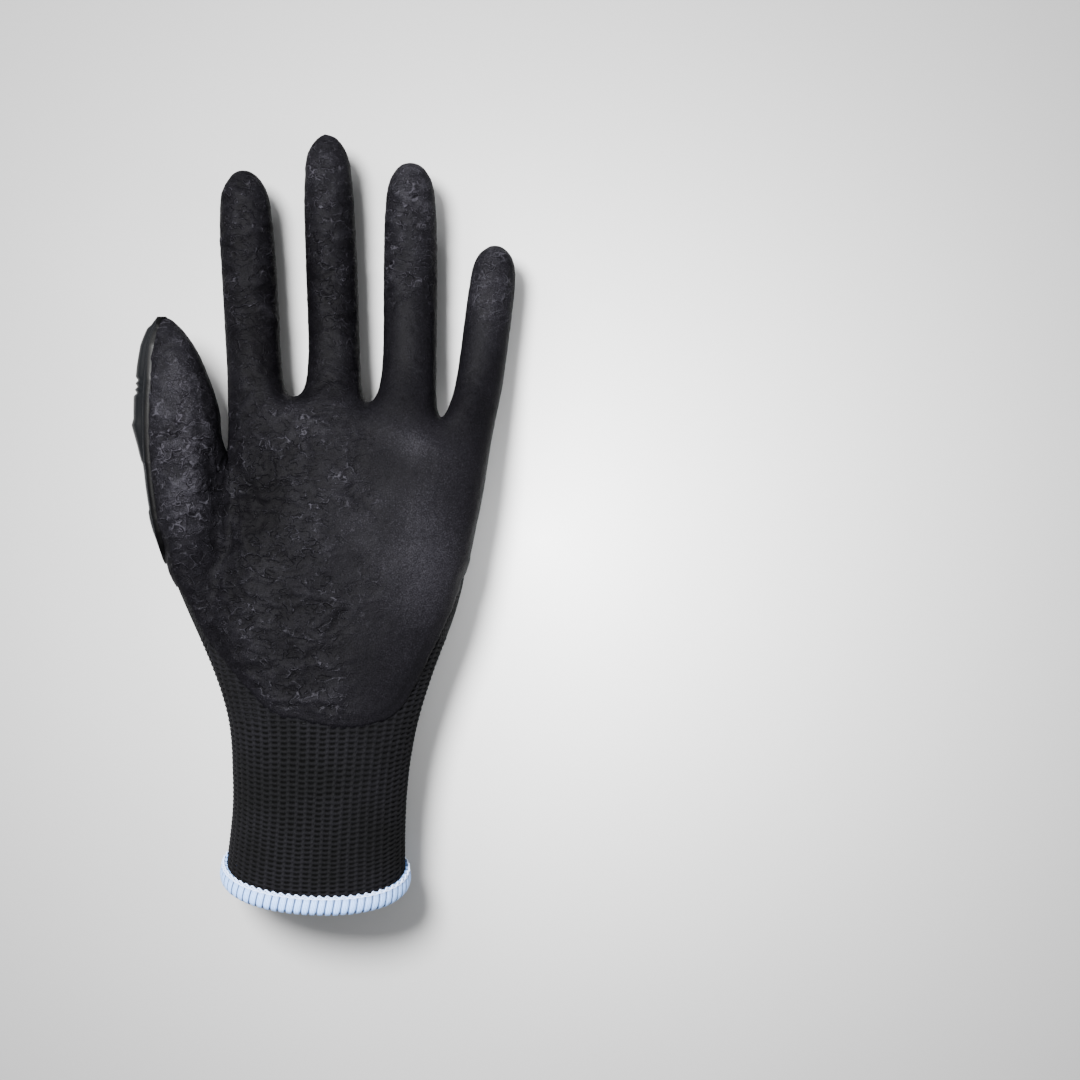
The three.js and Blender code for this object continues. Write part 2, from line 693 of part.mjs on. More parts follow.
function drapedGuard(stations, outward, bodyHeight, seat = seatGap) {
  const sink = flangeThickness; // how far the blank reaches into the hand before it is cut to its seat
  const top = [];
  const bottom = [];
  stations.forEach(({ centre, across, halfWidth, crest }) => {
    const middle = surfaceBelow(centre, outward) ?? centre;
    guardSection.forEach((s) => {
      const aim = centre.clone().addScaledVector(across, s.across * halfWidth);
      const spot = surfaceBelow(aim, outward);
      const level = spot ?? aim.addScaledVector(outward, middle.clone().sub(aim).dot(outward));
      const lowered = crest < 0 ? 1 + crest : 1;
      const height = flangeThickness * s.flange * lowered + bodyHeight * s.body * Math.max(crest, 0);
      top.push(level.clone().addScaledVector(outward, seat + height));
      bottom.push(level.clone().addScaledVector(outward, -sink));
    });
  });
  const n = guardSection.length;
  const last = stations.length - 1;
  const shift = top.length;
  const triangles = [];
  const addQuad = (a, b, c, d) => triangles.push(...quadTriangles([a, b, c, d]));
  for (let i = 0; i < last; i += 1) {
    for (let s = 0; s < n - 1; s += 1) {
      const [a, b, c, d] = [i * n + s, i * n + s + 1, (i + 1) * n + s + 1, (i + 1) * n + s];
      addQuad(a, b, c, d);
      addQuad(a + shift, d + shift, c + shift, b + shift);
    }
    const [left0, left1] = [i * n, (i + 1) * n];
    const [right0, right1] = [left0 + n - 1, left1 + n - 1];
    addQuad(left0, left1, left1 + shift, left0 + shift);
    addQuad(right0, right0 + shift, right1 + shift, right1);
  }
  for (let s = 0; s < n - 1; s += 1) {
    addQuad(s, s + shift, s + 1 + shift, s + 1);
    const end = last * n + s;
    addQuad(end, end + 1, end + 1 + shift, end + shift);
  }
  const points = [...top, ...bottom];
  const blank = solidFrom(points, triangles);
  const facing = blank.volume() > 0 ? blank : solidFrom(points, triangles.map(([a, b, c]) => [a, c, b]));
  return facing.subtract(guardSeat);
}

// Keeps the largest piece, since a cut can leave a sliver inside the hand.
function largestOf(solid) {
  return solid.decompose().reduce((best, one) => (one.volume() > best.volume() ? one : best));
}

function makeFingerGuard(finger) {
  const across = new THREE.Vector3(1, -finger.lean, 0).normalize();
  const stations = fingerGuardRows.map((row) => {
    const y = webReach + mix(fingerGuardSpan.start, fingerGuardSpan.end, row.along) * finger.length;
    const centre = new THREE.Vector3(fingerX(finger, y), y, fingerAxisHeight(finger, 0));
    return { centre, across, halfWidth: (fingerGuardWidth * row.width) / 2, crest: row.crest };
  });
  return largestOf(drapedGuard(stations, down, fingerGuardHeight - flangeThickness));
}

function makeThumbGuard() {
  const { heel, tip, line, heelHeight, tipHeight } = thumbGuardSpan;
  const stations = thumbGuardRows.map((row) => {
    const z = thumbHeight * mix(heelHeight, tipHeight, row.along);
    const centre = thumbPoint(line, mix(heel, tip, row.along), z);
    return { centre, across: down, halfWidth: (thumbGuardWidth * row.width) / 2, crest: row.crest };
  });
  return largestOf(drapedGuard(stations, left, thumbGuardHeight - flangeThickness, overCoat));
}

// Knuckle guard: a flange over the back of the knuckles with one flat-crowned pad for each finger

function padOutline(width) {
  const halfX = width / 2 - padChamfer;
  const halfY = knucklePadLength / 2 - padChamfer;
  const cut = width * padCorner;
  const shape = new THREE.Shape();
  shape.moveTo(-halfX, -halfY + cut);
  shape.lineTo(-halfX + cut, -halfY);
  shape.lineTo(halfX - cut, -halfY);
  shape.lineTo(halfX, -halfY + cut);
  shape.lineTo(halfX, halfY - cut);
  shape.lineTo(halfX - cut, halfY);
  shape.lineTo(-halfX + cut, halfY);
  shape.lineTo(-halfX, halfY - cut);
  shape.closePath();
  return shape;
}

function makeKnuckleGuard() {
  const centres = fingers.map((finger) => fingerX(finger, 0));
  const padWidths = fingers.map((finger) => (knucklePadWidth * finger.width) / fingers[0].width);
  const shiftX = centres[1]; // the middle pad stands at the origin
  const flangeLeft = centres[0] - knucklePadWidth / 2 + knuckleMargin * indexEndMargin;
  const flangeRight = centres[3] + knucklePadWidth / 2 + knuckleMargin * littleEndMargin;
  const stationCount = 13;
  const stations = [...Array(stationCount).keys()].map((i) => {
    const share = i / (stationCount - 1);
    const endness = Math.abs(2 * share - 1) ** 6;
    const centre = new THREE.Vector3(mix(flangeLeft, flangeRight, share) - shiftX, 0, knuckleHeight * 2);
    const halfWidth = (knucklePadLength / 2 + knuckleMargin) * (1 - flangeTaper * endness);
    return { centre, across: towardsTips, halfWidth, crest: -flangeThinning * endness };
  });
  const flange = drapedGuard(stations, down, 0);
  const pads = centres.map((x, i) => {
    const aim = new THREE.Vector3(x - shiftX, 0, knuckleHeight * 2);
    const reach = new THREE.Vector3(padWidths[i] / 3, 0, 0);
    const spots = [-1, 0, 1].map((side) => aim.clone().addScaledVector(reach, side));
    const [low, seat, high] = spots.map((spot) => surfaceBelow(spot, down));
    const tilt = i === 1 ? 0 : Math.atan2(high.z - low.z, high.x - low.x);
    const height = i === 1 ? seat.z : knuckleHeight + seatGap;
    const depth = height + padChamfer;
    const options = { depth, bevelThickness: padChamfer, bevelSize: padChamfer, bevelSegments: 1 };
    const block = new THREE.ExtrudeGeometry(padOutline(padWidths[i]), options);
    block.translate(0, 0, padChamfer - height).rotateY(-tilt).translate(seat.x, seat.y, seat.z);
    return solidFromGeometry(block);
  });
  const joined = pads.reduce((sum, pad) => sum.add(pad.subtract(guardSeat)), flange);
  return largestOf(joined);
}

// Materials, then the assembly

const knit = new THREE.MeshStandardMaterial({ color: 0x1d1d20, roughness: 0.95, metalness: 0 });
const dipped = new THREE.MeshStandardMaterial({ color: 0x2b2a2f, roughness: 0.62, metalness: 0 });
const thread = new THREE.MeshStandardMaterial({ color: 0xc9dcf2, roughness: 0.7, metalness: 0 });
const rubber = new THREE.MeshStandardMaterial({ color: 0x3e4246, roughness: 0.5, metalness: 0 });

const glove = new THREE.Group();
glove.add(meshOf("knit_liner", makeLiner(), knit));
glove.add(meshOf("palm_coating", makeCoating(), dipped));
glove.add(meshOf("cuff_hem", makeHem(), thread));
glove.add(meshOf("thumb_guard", makeThumbGuard(), rubber));
glove.add(meshOf("knuckle_guard", makeKnuckleGuard(), rubber));
fingers.forEach((finger) => {
  glove.add(meshOf(`${finger.name}_guard`, makeFingerGuard(finger), rubber));
});

export default glove;
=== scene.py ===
import bmesh
import bpy
import math
import numpy as np
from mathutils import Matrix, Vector
from mathutils.bvhtree import BVHTree


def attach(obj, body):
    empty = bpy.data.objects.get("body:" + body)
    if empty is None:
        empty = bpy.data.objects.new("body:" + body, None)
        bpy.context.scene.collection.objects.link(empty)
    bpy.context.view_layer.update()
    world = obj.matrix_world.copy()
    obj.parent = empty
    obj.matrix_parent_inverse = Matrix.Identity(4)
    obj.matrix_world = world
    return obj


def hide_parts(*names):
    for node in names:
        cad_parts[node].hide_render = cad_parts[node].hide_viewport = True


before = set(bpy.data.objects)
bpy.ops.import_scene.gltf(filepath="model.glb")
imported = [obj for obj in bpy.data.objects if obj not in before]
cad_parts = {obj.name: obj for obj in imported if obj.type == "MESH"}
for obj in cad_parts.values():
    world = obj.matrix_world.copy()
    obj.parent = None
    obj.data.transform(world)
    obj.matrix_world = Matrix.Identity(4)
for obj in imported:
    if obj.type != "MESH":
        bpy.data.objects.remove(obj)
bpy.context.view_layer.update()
metre = 0.001  # the numbers below are millimetres, and every mesh is scaled by this when it is made

# Net of the glove: the same rows and rings as the solid model, followed by one smooth surface

glove = {
    "palmWidth": 90.0, "palmDepth": 27.0, "cuffWidth": 57.0, "cuffDepth": 40.0,
    "handLength": 158.5, "webReach": 27.0, "linerWall": 1.4,
    "cuffRoundness": 2.1, "palmSquareness": 3.0,
    "coatThickness": 0.9, "coatSideReach": 0.55, "seatGap": 0.3,
    "hemWrap": 1.1, "knuckleHeight": 7.0, "fingerGuardHeight": 4.3,
    "tipOval": 11.5, "tipGrow": (0.9, 0.4, 0.6, 0.3), "wristFill": (0.9, 0.9),
}
fingers = [  # start, lean, length, width, depth
    ("index", -0.27, -0.06, 0.4732, 0.1756, 0.6074),
    ("middle", 0.027, -0.037, 0.5508, 0.1622, 0.6),
    ("ring", 0.301, 0.003, 0.4921, 0.1711, 0.5852),
    ("little", 0.554, 0.125, 0.3186, 0.1467, 0.5333),
]
firstRow = {
    "webs": (-0.0082, -0.0208, -0.0537), "finger": 0.0126, "indexEdge": -0.0126,
    "indexSide": -0.0063, "littleEdge": -0.0442, "littleSide": -0.0379, "webRise": 0.0095, "webShare": 0.2,
}
fingerRings = [  # along, width, depth, lift
    (0.1, 1.02, 1.12, 0.12), (0.42, 1.04, 1.04, 0.0), (0.72, 1.03, 0.96, 0.02),
    (0.89, 0.95, 0.84, 0.08), (0.972, 0.6, 0.48, 0.13),
]
tipRise = 0.03
handRows = [  # along, centre, wide, deep, on guard, lean, fan, skew
    (0.0, 0.123, 0.96, 1.3, 0.85, 0.0, 1.0, 0.0),
    (0.076, 0.118, 0.9, 1.2, 1.0, 0.0, 0.85, 0.0),
    (0.151, 0.103, 0.86, 1.0, 1.02, 0.0, 0.6, 0.0),
    (0.322, 0.067, 0.79, 0.76, 1.04, 0.02, 0.35, 0.0),
    (0.498, -0.008, 0.76, 0.6, 1.04, 0.06, 0.15, 0.0),
    (0.662, -0.003, 0.1, 0.46, 0.9, 0.15, 0.0, 0.0),
    (0.833, -0.027, -0.01, 0.2, 0.55, 0.3, 0.0, 0.004),
    (1.0, -0.045, 0.1, 0.0, 0.0, 0.45, 0.0, 0.009),
]
thumb = {
    "reach": 50.0, "depth": 21.0, "height": 27.0, "webRise": 1.0, "tip": (-0.4, 0.99), "rows": (2, 3, 4),
    "rings": [  # web x, web y, heel x, heel y, rise, depth, coated all round
        (-0.09, 0.2, -0.37, -0.62, 0.92, 1.3, False), (-0.08, 0.34, -0.475, -0.14, 0.97, 1.12, True),
        (-0.11, 0.48, -0.5, 0.22, 1.0, 1.04, True), (-0.16, 0.63, -0.5, 0.54, 1.02, 0.92, True),
        (-0.21, 0.79, -0.475, 0.77, 1.03, 0.76, True), (-0.3, 0.92, -0.455, 0.9, 1.04, 0.44, True),
    ],
}
coatEdge = [
    (-0.9, 0.36), (-0.57, 0.385), (-0.45, 0.49), (-0.37, 0.545), (-0.28, 0.604), (-0.19, 0.65), (-0.08, 0.668),
    (0.07, 0.682), (0.2, 0.672), (0.285, 0.64), (0.38, 0.54), (0.45, 0.455), (0.485, 0.405), (0.53, 0.36), (0.8, 0.3),
]

ringCorner = 0.78
ringGain = 6 / (4 + 2 * math.cos(math.pi / 4))
cagePoints = []  # x, y, z, wale, coated
cageFaces = []


def mix(a, b, share):
    return a + (b - a) * share


def smoothstep(low, high, value):
    t = np.clip((value - low) / (high - low), 0, 1)
    return t * t * (3 - 2 * t)


def alongHand(share):
    return glove["webReach"] - share * glove["handLength"]


def addPoint(place, wale, coated):
    cagePoints.append([place[0], place[1], place[2], wale, 1.0 if coated else 0.0])
    return len(cagePoints) - 1


def bridge(ringA, ringB, skip=()):
    made = []
    for k in range(len(ringA)):
        n = (k + 1) % len(ringA)
        if k in skip:
            continue
        made.append(len(cageFaces))
        cageFaces.append([ringA[k], ringA[n], ringB[n], ringB[k]])
    return made


def digitRing(centre, across, width, depth, wales, allRound=False):
    c = ringCorner
    steps = [(-c, c), (0, 1), (c, c), (1, 0), (c, -c), (0, -1), (-c, -c), (-1, 0)]
    ring = []
    for k, (a, z) in enumerate(steps):
        place = centre + across * (a * width * ringGain / 2)
        place[2] += z * depth * ringGain / 2
        ring.append(addPoint(place, wales[k], allRound or k < 4 or k == 7))
    return ring


def closeTip(ring, pole, wale):
    made = addPoint(pole, wale, True)
    pl, pm, pr, sr, br, bm, bl, sl = ring
    cageFaces.extend([[pl, pm, made, sl], [pm, pr, sr, made], [made, sr, br, bm], [sl, made, bm, bl]])


def fingerX(finger, y):
    return finger[1] * glove["palmWidth"] + finger[2] * (y - glove["webReach"])


def columnPlaces():
    places = []
    sizes = [(f[1] * glove["palmWidth"], f[4] * glove["palmWidth"] / 2) for f in fingers]
    for i, (x, half) in enumerate(sizes):
        before = sizes[i - 1] if i else None
        after = sizes[i + 1] if i < len(sizes) - 1 else None
        outer = half * ringCorner * ringGain
        places.append(x - half - (x - half - sum(before)) * firstRow["webShare"] if before else x - outer)
        places.append(x)
        places.append(x + half + (after[0] - after[1] - x - half) * firstRow["webShare"] if after else x + outer)
    return places


columnXs = columnPlaces()
columnCount = len(columnXs)
edgeLeft = columnXs[0] - (1 - ringCorner) * fingers[0][4] * glove["palmWidth"] * 0.5
edgeRight = columnXs[-1] + (1 - ringCorner) * fingers[3][4] * glove["palmWidth"] * 0.5


def handRing(number):
    along, centre, wide, deep, onGuard, lean, fan, skew = handRows[number]
    width = mix(glove["cuffWidth"], glove["palmWidth"], wide)
    depth = mix(glove["cuffDepth"], glove["palmDepth"], deep)
    onHem = glove["seatGap"] + glove["hemWrap"] if number == len(handRows) - 1 else 0
    middle = onGuard * (glove["knuckleHeight"] + glove["seatGap"]) + onHem + depth / 2
    power = mix(glove["cuffRoundness"], glove["palmSquareness"], min(wide, 1))

    def place(share, side, offset, wale, coated):
        z = side * depth * (1 - abs(share) ** power) ** (1 / power) / 2
        y = alongHand(along + skew * share) + offset * glove["handLength"] - lean * z
        return addPoint((centre * glove["palmWidth"] + share * width / 2, y, middle + z), wale, coated)

    def shareOf(j):
        even = -math.cos(math.pi * (j + 1) / (columnCount + 1))
        fanned = (columnXs[j] - edgeLeft) / (edgeRight - edgeLeft) * 2 - 1
        return mix(even, fanned, fan)

    def offsetOf(j):
        if number:
            return 0
        if j % 3 == 1:
            return firstRow["finger"]
        web = math.ceil(j / 3) - 1
        if 0 <= web < 3:
            return firstRow["webs"][web]
        return firstRow["indexEdge"] if j == 0 else firstRow["littleEdge"]

    columns = range(columnCount)
    palm = [place(shareOf(j), 1, offsetOf(j), j, True) for j in columns]
    right = place(1, 0, 0 if number else firstRow["littleSide"], columnCount, along < glove["coatSideReach"])
    back = [place(shareOf(j), -1, offsetOf(j), j, False) for j in columns]
    rise = thumb["webRise"] / glove["handLength"] if number == thumb["rows"][0] else 0
    left = place(-1, 0, rise if number else firstRow["indexSide"], -1, True)
    return {"palm": palm, "right": right, "left": left, "all": palm + [right] + back[::-1] + [left]}


def buildCage():
    rows = [handRing(i) for i in range(len(handRows))]
    strips = {}
    lastPlace = len(rows[0]["all"]) - 1
    for i in range(len(rows) - 1, 0, -1):
        thumbHere = i in thumb["rows"] and i - 1 in thumb["rows"]
        skip = (lastPlace, lastPlace - 1) if thumbHere else ()
        strips[i] = bridge(rows[i]["all"], rows[i - 1]["all"], skip)

    first = rows[0]
    backOf = [first["all"][lastPlace - 1 - j] for j in range(columnCount)]
    before, after = [], []
    for web in range(3):
        j = web * 3 + 2
        sides = []
        for column in (j, j + 1):
            top = cagePoints[first["palm"][column]]
            low = cagePoints[backOf[column]]
            rise = firstRow["webRise"] * glove["handLength"]
            sides.append(addPoint((top[0], top[1] + rise, (top[2] + low[2]) / 2), j + 0.5, True))
        before.append(sides[0])
        after.append(sides[1])
        cageFaces.append([first["palm"][j], first["palm"][j + 1], sides[1], sides[0]])
        cageFaces.append([sides[0], sides[1], backOf[j + 1], backOf[j]])

    fingerStart = len(cageFaces)
    for i, finger in enumerate(fingers):
        j = i * 3
        sideAfter = before[i] if i < 3 else first["right"]
        sideBefore = after[i - 1] if i else first["left"]
        ring = first["palm"][j:j + 3] + [sideAfter, backOf[j + 2], backOf[j + 1], backOf[j], sideBefore]
        across = np.array([1, -finger[2], 0.0]) / math.hypot(1, finger[2])
        length = finger[3] * glove["handLength"]
        width = finger[4] * glove["palmWidth"]
        depth = finger[5] * glove["palmDepth"]
        wales = [j, j + 1, j + 2, j + 2.7, j + 2, j + 1, j, j - 0.7]

        def pointAt(along, lift):
            y = glove["webReach"] + along * length
            z = glove["fingerGuardHeight"] + glove["seatGap"] + depth * (0.5 + lift)
            return np.array([fingerX(finger, y), y, z])

        for along, wide, deep, lift in fingerRings:
            made = digitRing(pointAt(along, lift), across, width * wide, depth * deep, wales)
            bridge(ring, made)
            ring = made
        last = fingerRings[-1]
        pole = pointAt(1, last[3] + tipRise) * 9 / 4 - pointAt(last[0], last[3]) * 5 / 4
        closeTip(ring, pole, j + 1)

    thumbStart = len(cageFaces)
    top, middle, heel = (rows[i] for i in thumb["rows"])
    web = np.array(cagePoints[top["left"]][:3])
    web[1] -= thumb["webRise"]
    ring = [heel["palm"][0], middle["palm"][0], top["palm"][0], top["left"]]
    ring += [top["all"][-2], middle["all"][-2], heel["all"][-2], heel["left"]]
    wales = [-2, -1.5, -1, -1, -1, -1.5, -2, -2.5]

    def thumbPoint(x, y, z):
        return np.array([web[0] + x * thumb["reach"], web[1] + y * thumb["reach"], z])

    for webX, webY, heelX, heelY, rise, deep, allRound in thumb["rings"]:
        z = thumb["height"] * rise
        inner, outer = thumbPoint(webX, webY, z), thumbPoint(heelX, heelY, z)
        across = inner - outer
        width = np.linalg.norm(across)
        centre = (inner + outer) / 2
        made = digitRing(centre, across / width, width, thumb["depth"] * deep, wales, allRound)
        bridge(ring, made)
        ring = made
    end = thumbPoint(thumb["tip"][0], thumb["tip"][1], centre[2])
    closeTip(ring, end * 9 / 4 - centre * 5 / 4, -1)
    return {"strips": strips, "fingerStart": fingerStart, "thumbStart": thumbStart, "thumbWeb": web}


cage = buildCage()
cageFaces = np.array(cageFaces)


def scatter(places, values, count):
    return np.stack([np.bincount(places, weights=column, minlength=count) for column in values.T], 1)


def smoothOnce(points, grid):  # one Catmull-Clark step, kept as a square grid of points for every cage face
    quads = np.stack([grid[:, :-1, :-1], grid[:, 1:, :-1], grid[:, 1:, 1:], grid[:, :-1, 1:]], -1)
    cells = quads.shape[:3]
    quads = quads.reshape(-1, 4)
    count = len(points)
    ahead = np.roll(quads, -1, 1)
    keys = np.minimum(quads, ahead) * np.int64(count) + np.maximum(quads, ahead)
    found, edgeOf, uses = np.unique(keys.ravel(), return_inverse=True, return_counts=True)
    edgeOf = edgeOf.ravel()
    ends = np.stack([found // count, found % count], 1)
    centres = points[quads].mean(1)
    endSum = points[ends].sum(1)
    nearSum = scatter(edgeOf, np.repeat(centres, 4, 0), len(found))
    isOpen = uses == 1
    edgePoints = np.where(isOpen[:, None], endSum / 2, (endSum + nearSum) / 4)
    valence = np.bincount(ends.ravel(), minlength=count)[:, None].astype(float)
    valence[valence == 0] = 1
    touching = np.bincount(quads.ravel(), minlength=count)[:, None].astype(float)
    touching[touching == 0] = 1
    faceMean = scatter(quads.ravel(), np.repeat(centres, 4, 0), count) / touching
    midMean = scatter(ends.ravel(), np.repeat(endSum / 2, 2, 0), count) / valence
    moved = (faceMean + 2 * midMean + (valence - 3) * points) / valence
    openEnds = ends[isOpen]
    if len(openEnds):
        swapped = openEnds[:, ::-1]
        openSum = scatter(openEnds.ravel(), points[swapped.ravel()], count)
        rim = np.unique(openEnds)
        moved[rim] = points[rim] * 0.75 + openSum[rim] * 0.125
    side = grid.shape[1] - 1
    finer = np.empty((len(grid), 2 * side + 1, 2 * side + 1), np.int64)
    finer[:, ::2, ::2] = grid
    finer[:, 1::2, 1::2] = count + np.arange(len(quads)).reshape(cells)
    edgeAt = (count + len(quads) + edgeOf).reshape(cells + (4,))
    finer[:, 1::2, 0:-1:2] = edgeAt[..., 0]
    finer[:, 2::2, 1::2] = edgeAt[..., 1]
    finer[:, 1::2, 2::2] = edgeAt[..., 2]
    finer[:, 0:-1:2, 1::2] = edgeAt[..., 3]
    return np.concatenate([moved, centres, edgePoints]), finer


def vertexNormals(points, quads):
    crossed = np.cross(points[quads[:, 2]] - points[quads[:, 0]], points[quads[:, 3]] - points[quads[:, 1]])
    normals = scatter(quads.ravel(), np.repeat(crossed, 4, 0), len(points))
    return normals / np.maximum(np.linalg.norm(normals, axis=1, keepdims=True), 1e-12)


def quadsOf(grid):
    return np.stack([grid[..., :-1, :-1], grid[..., 1:, :-1], grid[..., 1:, 1:], grid[..., :-1, 1:]], -1).reshape(-1, 4)


smoothLevel = 6
fineSide = 2 ** smoothLevel
finePoints = np.array(cagePoints)
fineGrid = cageFaces[:, [[0, 3], [1, 2]]].astype(np.int64)
for level in range(smoothLevel):
    finePoints, fineGrid = smoothOnce(finePoints, fineGrid)


def roundTips():  # fill each fingertip out to a full oval, sideways first and then towards the tip
    facesPerFinger = 8 * len(fingerRings) + 4
    reach = glove["tipOval"]
    steps = np.linspace(0, reach, 61)
    for i, finger in enumerate(fingers):
        first = cage["fingerStart"] + i * facesPerFinger
        ids = np.unique(fineGrid[first:first + facesPerFinger])
        tip = finePoints[ids, 1].max()
        fromTip = tip - finePoints[ids, 1]
        centre = fingerX(finger, finePoints[ids, 1])
        side = finePoints[ids, 0] - centre

        def halfWidths():
            found = [np.abs(side[np.abs(fromTip - d) < 0.25]).max() for d in steps]
            return np.maximum.accumulate(found)

        half = halfWidths()
        oval = half[-1] * np.sqrt(1 - (1 - (steps + 0.1) / (reach + 0.1)) ** 2)
        side = side * np.interp(fromTip, steps, np.clip(oval / np.maximum(half, 0.3), 1, 1.9), right=1.0)
        half = halfWidths()
        wanted = reach * (1 - np.sqrt(1 - (half / half[-1]) ** 2))
        wanted = np.minimum(wanted - wanted[0] * (1 - steps / reach), steps)
        moved = np.where(fromTip < reach, np.interp(fromTip, steps, wanted), fromTip)
        moved = moved - glove["tipGrow"][i] * (1 - smoothstep(0, reach, moved))
        finePoints[ids, 0] = centre + side
        finePoints[ids, 1] = tip - moved


def fillWrist():  # the wrist stands out a little more on both sides
    x, y = finePoints[:, 0], finePoints[:, 1]
    left = smoothstep(-112, -92, y) * (1 - smoothstep(-34, -20, y)) * smoothstep(6, -26, x)
    right = smoothstep(-62, -42, y) * (1 - smoothstep(-38, -20, y)) * smoothstep(6, 32, x)
    finePoints[:, 0] = x - glove["wristFill"][0] * left + glove["wristFill"][1] * right


roundTips()
fillWrist()
fineNormals = vertexNormals(finePoints[:, :3], quadsOf(fineGrid))
print("smooth glove surface", len(finePoints), "points")

# Noise for folds and wrinkles, the same on each run

noiseTable = np.random.RandomState(11)
shuffled = noiseTable.permutation(256)
slopes = noiseTable.normal(size=(256, 3))
slopes /= np.linalg.norm(slopes, axis=1, keepdims=True)


def noise(p):
    cell = np.floor(p).astype(np.int64)
    f = p - cell
    fade = f * f * f * (f * (f * 6 - 15) + 10)
    total = np.zeros(len(p))
    for dx in (0, 1):
        a = shuffled[(cell[:, 0] + dx) & 255]
        wx = fade[:, 0] if dx else 1 - fade[:, 0]
        for dy in (0, 1):
            b = shuffled[(a + cell[:, 1] + dy) & 255]
            wy = fade[:, 1] if dy else 1 - fade[:, 1]
            for dz in (0, 1):
                slope = slopes[shuffled[(b + cell[:, 2] + dz) & 255]]
                wz = fade[:, 2] if dz else 1 - fade[:, 2]
                total += wx * wy * wz * (slope * (f - (dx, dy, dz))).sum(1)
    return total * 1.7


def warped(p, size, reach, seed):
    q = p / size + seed
    drift = np.stack([noise(q), noise(q + 31.7), noise(q + 67.1)], 1)
    return p + drift * reach


def ridges(p, size, sharpness, seed):
    return np.clip(1 - np.abs(noise(p / size + seed)) * 2.4, 0, 1) ** sharpness


def makeMesh(name, points, faces, values=None, normals=None):
    mesh = bpy.data.meshes.new(name)
    used, faces = np.unique(faces, return_inverse=True)
    faces = faces.reshape(-1, 4) if len(faces.shape) == 1 else faces
    mesh.vertices.add(len(used))
    mesh.vertices.foreach_set("co", (points[used, :3] * metre).astype(np.float32).ravel())
    mesh.loops.add(faces.size)
    mesh.loops.foreach_set("vertex_index", faces.astype(np.int32).ravel())
    mesh.polygons.add(len(faces))
    mesh.polygons.foreach_set("loop_start", (np.arange(len(faces)) * faces.shape[1]).astype(np.int32))
    mesh.polygons.foreach_set("use_smooth", np.ones(len(faces), bool))
    for label, column in (values or {}).items():
        layer = mesh.attributes.new(label, "FLOAT", "POINT")
        layer.data.foreach_set("value", column[used].astype(np.float32))
    mesh.update()
    mesh.validate()
    if normals is not None:
        mesh.normals_split_custom_set_from_vertices(normals[used].astype(np.float32))
    piece = bpy.data.objects.new(name, mesh)
    bpy.context.scene.collection.objects.link(piece)
    return piece


def finish(piece, material, nodes):
    piece.data.materials.append(material)
    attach(piece, "root")
    if nodes:
        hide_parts(*nodes)
    print("piece", piece.name, len(piece.data.polygons), "faces")
    return piece


# Shader helpers

def newMaterial(name):
    material = bpy.data.materials.new(name)
    material.use_nodes = True
    material.node_tree.nodes.clear()
    return material, material.node_tree


def addNode(tree, kind, inputs=None, **settings):
    made = tree.nodes.new(kind)
    for key, value in settings.items():
        setattr(made, key, value)
    for key, value in (inputs or {}).items():
        if hasattr(value, "is_output"):
            tree.links.new(value, made.inputs[key])
        else:
            made.inputs[key].default_value = value
    return made


def calc(tree, operation, a, b=None, clamp=False):
    values = {0: a} if b is None else {0: a, 1: b}
    return addNode(tree, "ShaderNodeMath", values, operation=operation, use_clamp=clamp).outputs[0]


def mixColour(tree, share, a, b, kind="MIX"):
    made = tree.nodes.new("ShaderNodeMix")
    made.data_type = "RGBA"
    made.blend_type = kind
    for socket, value in ((made.inputs[0], share), (made.inputs[6], a), (made.inputs[7], b)):
        if hasattr(value, "is_output"):
            tree.links.new(value, socket)
        else:
            socket.default_value = value
    return made.outputs[2]


def spread(tree, value, low, high, outLow=0.0, outHigh=1.0):
    inputs = {"Value": value, "From Min": low, "From Max": high, "To Min": outLow, "To Max": outHigh}
    return addNode(tree, "ShaderNodeMapRange", inputs, clamp=True).outputs[0]


def noiseTex(tree, place, scale, detail=3.0, rough=0.5, distortion=0.0):
    inputs = {"Vector": place, "Scale": scale, "Detail": detail, "Roughness": rough, "Distortion": distortion}
    return addNode(tree, "ShaderNodeTexNoise", inputs).outputs["Fac"]


def closeMaterial(tree, colour, roughness, normal, **fixed):
    shader = tree.nodes.new("ShaderNodeBsdfPrincipled")
    for key, value in fixed.items():
        shader.inputs[key.replace("_", " ")].default_value = value
    tree.links.new(colour, shader.inputs["Base Color"])
    tree.links.new(roughness, shader.inputs["Roughness"])
    tree.links.new(normal, shader.inputs["Normal"])
    output = tree.nodes.new("ShaderNodeOutputMaterial")
    tree.links.new(shader.outputs[0], output.inputs[0])


def objectPlace(tree):
    return addNode(tree, "ShaderNodeTexCoord").outputs["Object"]


def attribute(tree, name):
    return addNode(tree, "ShaderNodeAttribute", attribute_name=name).outputs["Fac"]


def newGroup(name, inputs, outputs):
    tree = bpy.data.node_groups.new(name, "ShaderNodeTree")
    for label, kind, value in inputs:
        socket = tree.interface.new_socket(label, in_out="INPUT", socket_type=kind)
        if value is not None:
            socket.default_value = value
    for label, kind in outputs:
        tree.interface.new_socket(label, in_out="OUTPUT", socket_type=kind)
    return tree, tree.nodes.new("NodeGroupInput").outputs, tree.nodes.new("NodeGroupOutput").inputs


def useGroup(tree, group, inputs):
    return addNode(tree, "ShaderNodeGroup", inputs, node_tree=group).outputs


